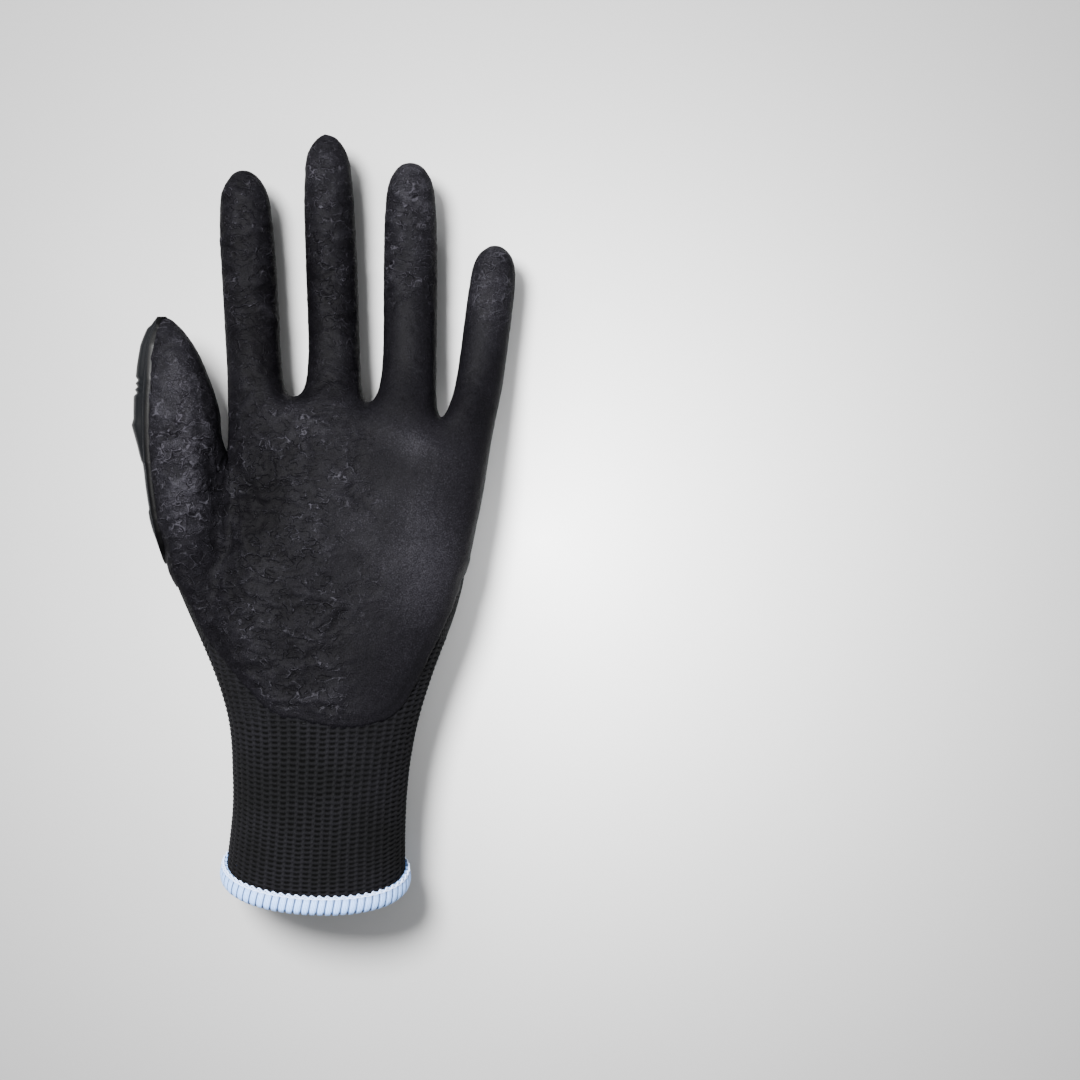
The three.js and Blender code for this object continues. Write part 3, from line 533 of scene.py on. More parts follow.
def makeGrainGroup():  # fine matte grain of dipped and moulded rubber
    tree, given, put = newGroup(
        "rubberGrain",
        [("Place", "NodeSocketVector", None), ("Grain Size", "NodeSocketFloat", 0.3), ("Cloud Size", "NodeSocketFloat", 9.0)],
        [("Grain", "NodeSocketFloat"), ("Cloud", "NodeSocketFloat")],
    )
    grainScale = calc(tree, "DIVIDE", 1000.0, given["Grain Size"])
    cloudScale = calc(tree, "DIVIDE", 1000.0, given["Cloud Size"])
    fine = addNode(tree, "ShaderNodeTexNoise", {"Vector": given["Place"], "Scale": grainScale, "Detail": 3.0, "Roughness": 0.65})
    broad = addNode(tree, "ShaderNodeTexNoise", {"Vector": given["Place"], "Scale": cloudScale, "Detail": 4.0, "Roughness": 0.6})
    tree.links.new(fine.outputs["Fac"], put["Grain"])
    tree.links.new(spread(tree, broad.outputs["Fac"], 0.3, 0.7), put["Cloud"])
    return tree


def makeWrinkleGroup():  # short broken creases, each a raised line with a hollow along one side; the coating also paints the line lighter, a painted highlight, and the hollow darker, painted shade
    tree, given, put = newGroup(
        "wrinkleRelief",
        [("Place", "NodeSocketVector", None), ("Size", "NodeSocketFloat", 2.0), ("Warp", "NodeSocketFloat", 1.2), ("Width", "NodeSocketFloat", 0.1)],
        [("Crease", "NodeSocketFloat"), ("Hollow", "NodeSocketFloat")],
    )
    scale = calc(tree, "DIVIDE", 1000.0, given["Size"])
    width = given["Width"]
    stretched = addNode(tree, "ShaderNodeVectorMath", {0: given["Place"], 1: (0.75, 1.0, 1.0)}, operation="MULTIPLY").outputs[0]
    creases, hollows = None, None
    for finer, gain in ((1.0, 1.0), (1.37, 0.9), (1.9, 0.7)):
        textureScale = calc(tree, "MULTIPLY", scale, finer)
        inputs = {"Vector": stretched, "Scale": textureScale, "Detail": 1.5, "Distortion": given["Warp"]}
        made = addNode(tree, "ShaderNodeTexNoise", inputs)
        away = calc(tree, "SUBTRACT", made.outputs["Fac"], 0.5)
        ridge = calc(tree, "SUBTRACT", 1.0, calc(tree, "DIVIDE", calc(tree, "ABSOLUTE", away), width), clamp=True)
        beside = calc(tree, "SUBTRACT", away, calc(tree, "MULTIPLY", width, 2.0))
        hollow = calc(tree, "SUBTRACT", 1.0, calc(tree, "DIVIDE", calc(tree, "ABSOLUTE", beside), calc(tree, "MULTIPLY", width, 1.5)), clamp=True)
        inputs = {"Vector": stretched, "Scale": calc(tree, "MULTIPLY", textureScale, 1.5), "Detail": 0.0}
        patch = addNode(tree, "ShaderNodeTexNoise", inputs)
        broken = spread(tree, patch.outputs["Fac"], 0.5, 0.6, 0.0, gain)
        ridge, hollow = calc(tree, "MULTIPLY", ridge, broken), calc(tree, "MULTIPLY", hollow, broken)
        creases = ridge if creases is None else calc(tree, "MAXIMUM", creases, ridge)
        hollows = hollow if hollows is None else calc(tree, "MAXIMUM", hollows, hollow)
    tree.links.new(creases, put["Crease"])
    tree.links.new(hollows, put["Hollow"])
    return tree


grainGroup = makeGrainGroup()
wrinkleGroup = makeWrinkleGroup()

# Dipped coating: a sheet that comes up through the knit at its edge, wrinkled over the fingers and thumb side

coating = {
    "grid": 0.45,  # size of the mesh squares
    "rim": 0.42, "full": 1.4, "under": -0.9, "rimWidth": 1.3, "fullWidth": 7.0,
    "foldHeight": 0.5, "creaseHeight": 0.3, "pitDepth": 0.3, "smoothShare": 0.1,
    # the darkest colour carries painted shade in low folds and crease hollows, the palest carries painted highlight on
    # crests and crease lines as well as paler patches
    "deep": (0.0009, 0.0008, 0.0011, 1), "body": (0.0038, 0.0036, 0.0046, 1), "paleAndHighlight": (0.0205, 0.0196, 0.0238, 1),
}


def edgeCurve():
    table = [(a * glove["palmWidth"], alongHand(b)) for a, b in coatEdge]
    places = []
    for i in range(len(table) - 1):
        p = [np.array(table[min(max(k, 0), len(table) - 1)]) for k in (i - 1, i, i + 1, i + 2)]
        for t in np.linspace(0, 1, 24, endpoint=False):
            v0, v1 = (p[2] - p[0]) / 2, (p[3] - p[1]) / 2
            cubic = (2 * p[1] - 2 * p[2] + v0 + v1) * t ** 3 + (-3 * p[1] + 3 * p[2] - 2 * v0 - v1) * t ** 2
            places.append(cubic + v0 * t + p[1])
    return np.array(places)


curve = edgeCurve()


def coatDepth(points):  # how far inside the coating's edge a point lies, negative outside
    farthest = 12.0
    curveY = np.interp(points[:, 0], curve[:, 0], curve[:, 1])
    inside = points[:, 1] > curveY
    depth = np.where(inside, farthest, -farthest)
    near = np.abs(points[:, 1] - curveY) < 45
    near &= points[:, 1] < 10
    spots = points[near, :2]
    least = np.full(len(spots), farthest)
    for a in range(0, len(curve), 40):
        gap = spots[:, None, :] - curve[None, a:a + 40, :]
        least = np.minimum(least, np.sqrt((gap ** 2).sum(2)).min(1))
    depth[near] = np.where(inside[near], least, -least)
    wrap = (points[:, 4] - 0.5) * 8.0
    return np.minimum(depth, wrap)


def chordDivisions(target):  # the same number of squares on every edge of a strip of cage faces
    edgeIds = {}
    parent = []

    def find(a):
        while parent[a] != a:
            parent[a] = parent[parent[a]]
            a = parent[a]
        return a

    def edgeId(a, b):
        key = (min(a, b), max(a, b))
        if key not in edgeIds:
            edgeIds[key] = len(parent)
            parent.append(len(parent))
        return edgeIds[key]

    sides = []
    for a, b, c, d in cageFaces:
        along, far = edgeId(a, b), edgeId(c, d)
        across, near = edgeId(b, c), edgeId(d, a)
        parent[find(along)] = find(far)
        parent[find(across)] = find(near)
        sides.append((along, across))
    corners = finePoints[fineGrid[:, ::fineSide, ::fineSide], :3]
    lengths = {}
    for f, (along, across) in enumerate(sides):
        g = corners[f]
        for key, a, b in ((along, g[0, 0], g[1, 0]), (along, g[0, 1], g[1, 1]), (across, g[0, 0], g[0, 1]), (across, g[1, 0], g[1, 1])):
            lengths.setdefault(find(key), []).append(np.linalg.norm(a - b))

    def count(key):
        length = np.percentile(lengths[find(key)], 70)
        return int(2 ** min(max(round(math.log2(length / target)), 3), smoothLevel))

    return [(count(along), count(across)) for along, across in sides]


def gatherFaces(faceIds, divisions):
    quads, labels = [], []
    for f in faceIds:
        stepA, stepB = fineSide // divisions[f][0], fineSide // divisions[f][1]
        made = quadsOf(fineGrid[f, ::stepA, ::stepB])
        quads.append(made)
        labels.append(np.full(len(made), f))
    return np.concatenate(quads), np.concatenate(labels)


def bell(p, x, y, wide, tall, turn=0.0):  # a soft oval patch on the palm side
    c, s = math.cos(math.radians(turn)), math.sin(math.radians(turn))
    dx, dy = p[:, 0] - x, p[:, 1] - y
    return np.exp(-((dx * c + dy * s) / wide) ** 2 - ((-dx * s + dy * c) / tall) ** 2)


def wrinkleShare(p):  # 1 where the coating is crumpled, 0 where it is smooth
    x, y = p[:, 0], p[:, 1]
    fadeRight = 1 - smoothstep(-4, 26, x + 14.0 * noise(p / 16 + 5) + 5.0 * noise(p / 6 + 51))
    onPalm = 1 - smoothstep(10, 34, y)
    lowRing = smoothstep(44, 74, y) * 0.8 + 0.2
    onFingers = np.where(x > 16, lowRing, 0.6 + 0.4 * smoothstep(40, 60, y))
    share = onPalm * fadeRight + (1 - onPalm) * onFingers
    patches = 0.85 + 0.4 * noise(p / 9 + 12) + 0.25 * bell(p, -48, 20, 12, 34)
    return np.clip(share * patches, coating["smoothShare"], 1.4)


def broadShape(points):  # soft hills and hollows of the palm, outwards positive
    p = points[:, :3]
    shape = -1.5 * bell(p, -20, -9, 9, 8, 20) - 0.5 * bell(p, -28.5, -9, 3.4, 15, -12)
    shape += 0.9 * bell(p, -3, 18, 12, 4.5, -12) + 0.9 * bell(p, 30, 12, 14, 4, -22)
    shape += 0.9 * bell(p, 34, -27, 14, 20, 10) - 0.8 * bell(p, 12, -3, 16, 6, -12)
    shape += 0.25 * noise(p / 13 + 3) + 0.08 * noise(p / 6 + 8)
    return shape * smoothstep(20, 30, p[:, 2]) * smoothstep(-0.5, 3, coatDepth(points))


def paintedShadeAndPaleTone(p):  # painted light on the palm's raised bands, painted shade in the palm's hollow and at the finger bases, and paler patches on the thumb, the fingertips and parts of the palm
    tone = 0.34 + 0.42 * bell(p, -48, 28, 12, 30) + 0.5 * bell(p, 34, -27, 18, 32) + 0.42 * bell(p, -46, -10, 8, 14)
    tone += 0.42 * bell(p, 28, 95, 13, 26) + 0.24 * bell(p, 0, 104, 11, 14) + 0.42 * bell(p, 57, 66, 12, 22)
    tone += 0.3 * bell(p, -3, 17, 13, 6, -12) + 0.3 * bell(p, 30, 12, 16, 6, -22) + 0.2 * bell(p, 4, -14, 14, 16)
    tone -= 0.42 * bell(p, -21, -9, 10, 13) + 0.22 * bell(p, -14, 52, 24, 26) - 0.16 * bell(p, 0, -74, 34, 9)
    return np.clip(tone + 0.06 * noise(p / 10 + 90), 0, 1)


def crumple(p):  # soft folds, with short broken creases over them, longer across the hand than along it
    p = p * np.array([0.8, 1, 1])
    bent = warped(p, 9.0, 4.0, 2.0)
    soft = noise(bent / 5.4 + 4) + 0.5 * noise(bent / 2.8 + 14)
    height = coating["foldHeight"] * soft
    for size, seed, gain in ((5.2, 24.0, 1.0), (4.0, 34.0, 0.8), (3.1, 61.0, 0.6)):
        lined = warped(p, size, size * 0.5, seed)
        broken = smoothstep(0.04, 0.42, noise(p / (size * 0.75) + seed * 1.7))
        height += coating["creaseHeight"] * gain * ridges(lined, size, 2.6, seed) * broken
    pits = np.clip(noise(bent / 3.3 + 55) - 0.28, 0, 1)
    return height - coating["pitDepth"] * pits


def coatingMaterial():
    material, tree = newMaterial("dippedCoating")
    place = objectPlace(tree)
    grain = useGroup(tree, grainGroup, {"Place": place, "Grain Size": 0.4, "Cloud Size": 16.0})
    fine = useGroup(tree, wrinkleGroup, {"Place": place, "Size": 5.0, "Warp": 0.3, "Width": 0.023})
    share = attribute(tree, "wrinkled")
    crease = calc(tree, "MULTIPLY", fine["Crease"], share)
    hollow = calc(tree, "MULTIPLY", fine["Hollow"], share)
    raised = spread(tree, attribute(tree, "relief"), -0.3, 0.6)
    # painted highlight and shade: higher relief and the crease lines are painted lighter, the hollow beside each crease
    # darker
    tone = calc(tree, "ADD", calc(tree, "MULTIPLY", raised, 0.46), calc(tree, "MULTIPLY", crease, 0.74))
    tone = calc(tree, "SUBTRACT", tone, calc(tree, "MULTIPLY", hollow, 0.3))
    # the shown tone: painted light and painted shade over the palm's hills and hollows, with paler patches
    tone = calc(tree, "ADD", tone, calc(tree, "MULTIPLY", calc(tree, "SUBTRACT", attribute(tree, "shown"), 0.5), 1.0))
    tone = calc(tree, "ADD", tone, spread(tree, grain["Cloud"], 0, 1, 0.0, 0.1))
    tone = calc(tree, "ADD", tone, spread(tree, grain["Grain"], 0.3, 0.7, -0.38, 0.38))
    # from the painted shade colour through the body colour to the painted highlight and pale colour
    base = mixColour(tree, spread(tree, tone, -0.2, 0.4), coating["deep"], coating["body"])
    colour = mixColour(tree, spread(tree, tone, 0.4, 1.15), base, coating["paleAndHighlight"])
    roughness = spread(tree, calc(tree, "ADD", grain["Cloud"], calc(tree, "MULTIPLY", crease, 1.5)), 0.0, 2.2, 0.62, 0.45)
    relief = calc(tree, "SUBTRACT", calc(tree, "MULTIPLY", crease, 0.7), calc(tree, "MULTIPLY", hollow, 0.6))
    relief = calc(tree, "ADD", relief, calc(tree, "MULTIPLY", grain["Grain"], 0.35))
    bump = addNode(tree, "ShaderNodeBump", {"Height": relief, "Strength": 0.9, "Distance": 0.00025})
    closeMaterial(tree, colour, roughness, bump.outputs["Normal"], Specular_IOR_Level=0.022)
    return material


def buildCoating():
    divisions = chordDivisions(coating["grid"])
    hasCoat = np.array([finePoints[fineGrid[f].ravel(), 4].max() > 0.3 for f in range(len(cageFaces))])
    quads, labels = gatherFaces(np.flatnonzero(hasCoat), divisions)
    used, packed = np.unique(quads, return_inverse=True)
    packed = packed.reshape(-1, 4)
    points, normals = finePoints[used], fineNormals[used]
    depth = coatDepth(points)
    wobble = 0.35 * noise(points[:, :3] / 2.0 + 70) + 0.25 * noise(points[:, :3] / 5.0 + 80)
    depth = depth + wobble
    rise = smoothstep(-coating["rimWidth"], coating["rimWidth"] * 0.6, depth)
    body = mix(coating["rim"], coating["full"], smoothstep(0, coating["fullWidth"], depth))
    offset = mix(coating["under"], body, rise)
    bare = points[:, :3]
    share = wrinkleShare(bare)
    inner = smoothstep(-0.5, 2.5, depth)
    facing = 0.15 + 0.85 * smoothstep(0.1, 0.6, normals[:, 2])
    share = share * mix(0.35, 1.0, smoothstep(0.6, 3.8, depth))
    relief = crumple(bare) * share * facing
    onThumb = np.zeros(len(points))
    onThumb[np.unique(packed[labels >= cage["thumbStart"]])] = smoothstep(-0.2, 0.5, normals[np.unique(packed[labels >= cage["thumbStart"]]), 0])
    fuller = onThumb * (1.1 * bell(bare, -40, 26, 12, 17) + 0.9 * bell(bare, -35.5, 13, 6, 8))
    fuller += 0.7 * bell(bare, 50, 2, 9, 22) + 0.5 * bell(bare, -45, -38, 9, 14)
    offset = offset + inner * (relief + fuller) + broadShape(points)
    moved = bare + normals * offset[:, None]
    newNormals = vertexNormals(moved, packed)
    keep = depth[packed].max(1) > -coating["rimWidth"] - 0.4
    values = {"wrinkled": share, "relief": relief, "shown": paintedShadeAndPaleTone(bare)}
    material = coatingMaterial()
    groups = {
        "coatingPalm": labels < cage["fingerStart"],
        "coatingFingers": (labels >= cage["fingerStart"]) & (labels < cage["thumbStart"]),
        "coatingThumb": labels >= cage["thumbStart"],
    }
    pieces = []
    for name, chosen in groups.items():
        piece = makeMesh(name, moved, packed[chosen & keep], values, newNormals)
        pieces.append(finish(piece, material, ["palm_coating"]))
    return pieces


coatingPieces = buildCoating()

# Rib-knitted cuff with each stitch in relief, then the finer knit of the hand under the guards

cuffKnit = {
    "wales": 52, "perWale": 8, "rowsPerCourse": 6, "pitchHem": 1.5, "pitchWrist": 1.8,
    "relief": 1.0, "sag": 0.24, "hidden": 3.0,
    # the gap colour is painted shade, near-black in the stitch gaps
    "gap": (0.0003, 0.0003, 0.0003, 1), "yarn": (0.0032, 0.0032, 0.0036, 1), "sheen": (0.0072, 0.0068, 0.009, 1),
}


def stitchHeight(wale, course, open_):  # sagging yarn rungs with small gaps, and a zigzag cord between the columns
    number = np.floor(wale)
    a = (wale - number - 0.5) * 2
    shift = 0.1 * np.sin(number * 12.9) + 0.14 * (number % 2)
    b = course + shift - cuffKnit["sag"] * a * a
    f = np.abs(b - np.floor(b) - 0.5) * 2
    hole = (1 - smoothstep(0.16, 0.5, f)) * (1 - smoothstep(0.36, 0.72, np.abs(a)))
    rung = 0.26 * f * (1 - np.abs(a) * 0.4)
    zigzag = np.abs(np.abs(a) - 0.86 - 0.1 * np.sin(2 * np.pi * (course + shift)))
    cord = 0.3 * (1 - smoothstep(0.04, 0.3, zigzag)) * (0.75 + 0.25 * np.cos(2 * np.pi * b))
    return 0.5 + cord + rung - 0.5 * hole * open_


def knitMaterial(name, reliefName, settings, waleScale, courseScale, depth):
    material, tree = newMaterial(name)
    place = objectPlace(tree)
    fuzz = noiseTex(tree, place, 1700.0, 3.0, 0.7)
    cloud = spread(tree, noiseTex(tree, place, 55.0, 3.0), 0.35, 0.65)
    if reliefName:
        height = attribute(tree, reliefName)
    else:
        wale = calc(tree, "MULTIPLY", attribute(tree, "wale"), waleScale)
        parts = addNode(tree, "ShaderNodeSeparateXYZ", {"Vector": place})
        turn = calc(tree, "SUBTRACT", calc(tree, "FRACT", wale), 0.5)
        bend = calc(tree, "MULTIPLY", calc(tree, "MULTIPLY", turn, turn), 1.6)
        course = calc(tree, "SUBTRACT", calc(tree, "MULTIPLY", parts.outputs["Y"], courseScale), bend)
        rung = calc(tree, "SINE", calc(tree, "MULTIPLY", calc(tree, "FRACT", course), math.pi))
        edge = spread(tree, calc(tree, "ABSOLUTE", turn), 0.3, 0.5)
        height = calc(tree, "MAXIMUM", rung, calc(tree, "MULTIPLY", edge, 0.8))
    # painted shade: lower parts of the stitches are painted darker towards the gap colour, in the gaps and on the
    # yarn's sides
    tone = calc(tree, "ADD", spread(tree, height, 0.15, 0.9), spread(tree, fuzz, 0.3, 0.7, -0.2, 0.2), clamp=True)
    yarn = mixColour(tree, spread(tree, cloud, 0, 1, 0.0, 0.35), settings["yarn"], settings["sheen"])
    colour = mixColour(tree, tone, settings["gap"], yarn)
    roughness = spread(tree, fuzz, 0.3, 0.7, 0.9, 0.76)
    relief = calc(tree, "ADD", calc(tree, "MULTIPLY", height, 1.0 if not reliefName else 0.25), calc(tree, "MULTIPLY", fuzz, 0.22))
    bump = addNode(tree, "ShaderNodeBump", {"Height": relief, "Strength": 0.8, "Distance": depth})
    closeMaterial(tree, colour, roughness, bump.outputs["Normal"], Specular_IOR_Level=0.03, Sheen_Weight=0.01, Sheen_Roughness=0.5)
    return material


def cuffGrid():  # columns round the cuff by arc length, rows by course
    strips = []
    for i in (7, 6, 5):
        grid = np.concatenate([fineGrid[f][:-1] for f in cage["strips"][i]], 0)
        strips.append(grid if not strips else grid[:, 1:])
    grid = np.concatenate(strips, 1)
    places, normals = finePoints[grid, :3], fineNormals[grid]
    places = np.concatenate([places, places[:1]], 0)
    normals = np.concatenate([normals, normals[:1]], 0)
    ring = places[:, fineSide]
    steps = np.linalg.norm(np.diff(ring, axis=0), axis=1)
    around = np.concatenate([[0], np.cumsum(steps)]) / steps.sum()
    columns = np.arange(cuffKnit["wales"] * cuffKnit["perWale"]) / (cuffKnit["wales"] * cuffKnit["perWale"])
    at = np.interp(columns, around, np.arange(len(around)))
    low = np.floor(at).astype(int)
    part = (at - low)[:, None, None]
    places = mix(places[low], places[low + 1], part)
    normals = mix(normals[low], normals[low + 1], part)
    middle = places[len(places) // 4]
    length = np.concatenate([[0], np.cumsum(np.linalg.norm(np.diff(middle, axis=0), axis=1))])
    pitch = mix(cuffKnit["pitchHem"], cuffKnit["pitchWrist"], smoothstep(5, 45, length))
    courses = np.concatenate([[0], np.cumsum(np.diff(length) / pitch[1:])])
    wanted = np.arange(0, courses[-1], 1 / cuffKnit["rowsPerCourse"])
    at = np.interp(wanted, courses, np.arange(len(courses)))
    low = np.minimum(np.floor(at).astype(int), len(courses) - 2)
    part = (at - low)[None, :, None]
    places = mix(places[:, low], places[:, low + 1], part)
    normals = mix(normals[:, low], normals[:, low + 1], part)
    return places, normals, columns * cuffKnit["wales"], wanted


cuffPlaces, cuffNormals, cuffWales, cuffCourses = cuffGrid()


def buildCuff():
    across, rows = cuffPlaces.shape[:2]
    wale = np.repeat(cuffWales[:, None], rows, 1)
    course = np.repeat(cuffCourses[None, :], across, 0)
    flat = cuffPlaces.reshape(-1, 3)
    drift = noise(flat / 11 + 17).reshape(across, rows) * 0.35
    tight = mix(0.6, 1.0, smoothstep(16, -4, cuffPlaces[:, :, 0] + 3 * drift))
    height = stitchHeight(wale + 0.06 * drift, course + drift, tight)
    moved = cuffPlaces + cuffNormals * ((height - 0.75) * cuffKnit["relief"])[..., None]
    index = np.arange(across * rows).reshape(across, rows)
    closed = np.concatenate([index, index[:1]], 0)
    quads = quadsOf(closed)
    normals = vertexNormals(moved.reshape(-1, 3), quads)
    attributes = np.concatenate([flat, np.zeros((len(flat), 1)), np.full((len(flat), 1), 1.0)], 1)
    palmSide = flat[:, 2] > 20
    buried = (coatDepth(attributes) > cuffKnit["hidden"]) & palmSide
    quads = quads[~buried[quads].all(1)]
    material = knitMaterial("ribKnit", "stitch", cuffKnit, 1, 1, 0.00025)
    halfway = index[across // 2, 0]
    for name, chosen in (("knitCuffPalm", quads[:, 0] < halfway), ("knitCuffBack", quads[:, 0] >= halfway)):
        piece = makeMesh(name, moved.reshape(-1, 3), quads[chosen], {"stitch": height.ravel()}, normals)
        finish(piece, material, ["knit_liner"])


buildCuff()

handKnit = {
    "perColumn": 4.0, "coursesPerMetre": 640.0, "step": 8, "sink": 0.6, "lining": 1.4,
    # the gap colour is painted shade, near-black in the stitch gaps
    "gap": (0.0005, 0.0005, 0.0005, 1), "yarn": (0.0042, 0.0042, 0.0046, 1), "sheen": (0.007, 0.0068, 0.0088, 1),
}


def buildHandKnit():
    step = handKnit["step"]
    cuffFaces = set(cage["strips"][7] + cage["strips"][6] + cage["strips"][5])
    faces = [f for f in range(len(cageFaces)) if f not in cuffFaces]
    overlap = cage["strips"][5]
    quads = np.concatenate([quadsOf(fineGrid[f, ::step, ::step]) for f in faces + overlap])
    points = finePoints.copy()
    shown = np.unique(quadsOf(fineGrid[:, ::step, ::step]))
    sink = np.zeros(len(points))
    sink[shown] = 0.35 * smoothstep(1, 4, coatDepth(finePoints[shown])) - broadShape(finePoints[shown])
    lift = -sink
    low = np.unique(fineGrid[overlap, :, :-step])
    sink[low] = np.maximum(sink[low], handKnit["sink"])
    points[:, :3] -= fineNormals * sink[:, None]
    piece = makeMesh("knitHand", points[:, :3], quads, {"wale": points[:, 3] + 6})
    material = knitMaterial("handKnit", None, handKnit, handKnit["perColumn"], handKnit["coursesPerMetre"], 0.0005)
    outer = finish(piece, material, ["knit_liner"])
    allQuads = quadsOf(fineGrid[:, ::step, ::step])
    inside = finePoints[:, :3] + fineNormals * (np.minimum(lift, 0) - handKnit["lining"])[:, None]
    lining = makeMesh("linerInside", inside, allQuads[:, ::-1], {"wale": finePoints[:, 3] + 6})
    finish(lining, material, ["knit_liner"])
    return outer


handPiece = buildHandKnit()

# Overlocked hem: puffed thread segments wrapped round the cuff's end, with a scalloped chain along the top

hem = {
    "segments": 66, "perSegment": 14, "puff": 0.5, "slant": 0.22,
    "section": [  # out from the knit's outer face, and past its end
        (1.15, -3.7), (1.5, -3.2), (1.75, -2.0), (1.8, -0.6), (1.45, 0.9), (0.4, 1.75), (-0.9, 1.9), (-2.2, 1.5),
        (-3.0, 0.3), (-3.1, -1.4), (-2.9, -3.0), (-2.2, -3.8), (-1.5, -3.9), (-0.7, -3.7), (0.4, -3.9),
    ],
    # the dark blue crevice colour is painted shade between the puffed segments
    "body": (0.12, 0.25, 0.56, 1), "bright": (0.3, 0.48, 0.86, 1), "creviceShade": (0.006, 0.016, 0.055, 1), "chain": (0.42, 0.54, 0.8, 1),
}


def closedCurve(table, count):
    table = np.array(table)
    n = len(table)
    places = []
    for t in np.arange(count) * n / count:
        i, f = int(t), t - int(t)
        p = [table[(i + k) % n] for k in (-1, 0, 1, 2)]
        v0, v1 = (p[2] - p[0]) / 2, (p[3] - p[1]) / 2
        places.append((2 * p[1] - 2 * p[2] + v0 + v1) * f ** 3 + (-3 * p[1] + 3 * p[2] - 2 * v0 - v1) * f ** 2 + v0 * f + p[1])
    return np.array(places)


def rimFrame(count):  # places, outward and past-the-end directions round the cuff's edge, by arc length
    ring = np.concatenate([cuffPlaces[:, 0], cuffPlaces[:1, 0]], 0)
    second = np.concatenate([cuffPlaces[:, 8], cuffPlaces[:1, 8]], 0)
    normal = np.concatenate([cuffNormals[:, 0], cuffNormals[:1, 0]], 0)
    steps = np.linalg.norm(np.diff(ring, axis=0), axis=1)
    around = np.concatenate([[0], np.cumsum(steps)]) / steps.sum()
    share = np.arange(count) / count
    pick = lambda table: np.stack([np.interp(share, around, table[:, k]) for k in range(3)], 1)
    edge, inner, out = pick(ring), pick(second), pick(normal)
    past = edge - inner
    past /= np.linalg.norm(past, axis=1, keepdims=True)
    out -= past * (out * past).sum(1, keepdims=True)
    out /= np.linalg.norm(out, axis=1, keepdims=True)
    return edge, out, past, share


def threadMaterial(name, body, bright, creviceShade, strands):
    material, tree = newMaterial(name)
    place = objectPlace(tree)
    phase = attribute(tree, "strand")
    creviceShadeMask = attribute(tree, "creviceShade")
    wave = calc(tree, "SINE", calc(tree, "MULTIPLY", phase, strands * 2 * math.pi))
    fuzz = noiseTex(tree, place, 1500.0, 3.0, 0.65)
    tone = spread(tree, calc(tree, "ADD", wave, calc(tree, "MULTIPLY", fuzz, 2.0)), -0.2, 2.2)
    colour = mixColour(tree, tone, body, bright)
    # painted shade in the crevices of the hem
    colour = mixColour(tree, creviceShadeMask, colour, creviceShade)
    roughness = spread(tree, fuzz, 0.3, 0.7, 0.42, 0.62)
    relief = calc(tree, "ADD", calc(tree, "MULTIPLY", wave, 0.4), fuzz)
    bump = addNode(tree, "ShaderNodeBump", {"Height": relief, "Strength": 0.5, "Distance": 0.00012})
    closeMaterial(tree, colour, roughness, bump.outputs["Normal"], Specular_IOR_Level=0.3, Sheen_Weight=0.05, Sheen_Roughness=0.4)
    return material


def tube(path, radius, sides, closed=True):
    ahead = np.roll(path, -1, 0) - np.roll(path, 1, 0)
    ahead /= np.linalg.norm(ahead, axis=1, keepdims=True)
    guide = np.tile(np.array([0.0, 0.3, 1.0]), (len(path), 1))
    side = np.cross(ahead, guide)
    side /= np.linalg.norm(side, axis=1, keepdims=True)
    lift = np.cross(side, ahead)
    angles = np.arange(sides) * 2 * np.pi / sides
    points = path[:, None] + radius * (np.cos(angles)[None, :, None] * side[:, None] + np.sin(angles)[None, :, None] * lift[:, None])
    index = np.arange(len(path) * sides).reshape(len(path), sides)
    index = np.concatenate([index, index[:, :1]], 1)
    if closed:
        index = np.concatenate([index, index[:1]], 0)
    return points.reshape(-1, 3), quadsOf(index)


def buildHem():
    count = hem["segments"] * hem["perSegment"]
    edge, out, past, share = rimFrame(count)
    section = closedCurve(hem["section"], 36)
    centre = section.mean(0)
    away = section - centre
    away /= np.linalg.norm(away, axis=1, keepdims=True)
    jitter = np.random.RandomState(5).normal(size=hem["segments"]) * 0.05
    phase = share[:, None] * hem["segments"] + hem["slant"] * np.clip((section[:, 1][None, :] + 1) / 4, -1, 1)
    number = np.floor(phase).astype(int) % hem["segments"]
    inSegment = phase - np.floor(phase)
    puff = (1 - np.abs(inSegment * 2 - 1) ** 3.2) ** 0.6 + jitter[number]
    local = section[None] + away[None] * ((puff - 0.75) * hem["puff"])[..., None]
    slim = mix(0.3, 1.0, smoothstep(-7, 1, edge[:, 2] - edge[:, 2].mean()))
    proud = np.where(local[..., 0] > 0, local[..., 0] * slim[:, None], local[..., 0])
    points = edge[:, None] + out[:, None] * proud[..., None] + past[:, None] * local[..., 1:]
    index = np.arange(points.shape[0] * points.shape[1]).reshape(points.shape[:2])
    index = np.concatenate([index, index[:, :1]], 1)
    index = np.concatenate([index, index[:1]], 0)
    # painted shade: dark at the ends of each segment, in dots near the hem's far edge and along a thin line beside the
    # chain
    creviceShade = smoothstep(0.34, 0.47, np.abs(inSegment - 0.5))
    dots = smoothstep(0.28, 0.4, np.abs(inSegment - 0.5)) * np.exp(-((section[:, 1] - 1.5) / 0.5) ** 2)[None]
    under = 0.55 * np.exp(-((section[:, 1] + 2.75) / 0.22) ** 2)[None] * (section[:, 0] > 0.5)[None]
    values = {"strand": inSegment.ravel(), "creviceShade": np.clip(creviceShade + dots + under, 0, 1).ravel()}
    piece = makeMesh("hemBinding", points.reshape(-1, 3), quadsOf(index), values)
    material = threadMaterial("hemThread", hem["body"], hem["bright"], hem["creviceShade"], 5)
    finish(piece, material, ["cuff_hem"])
    buildChain(edge, out, past, share)


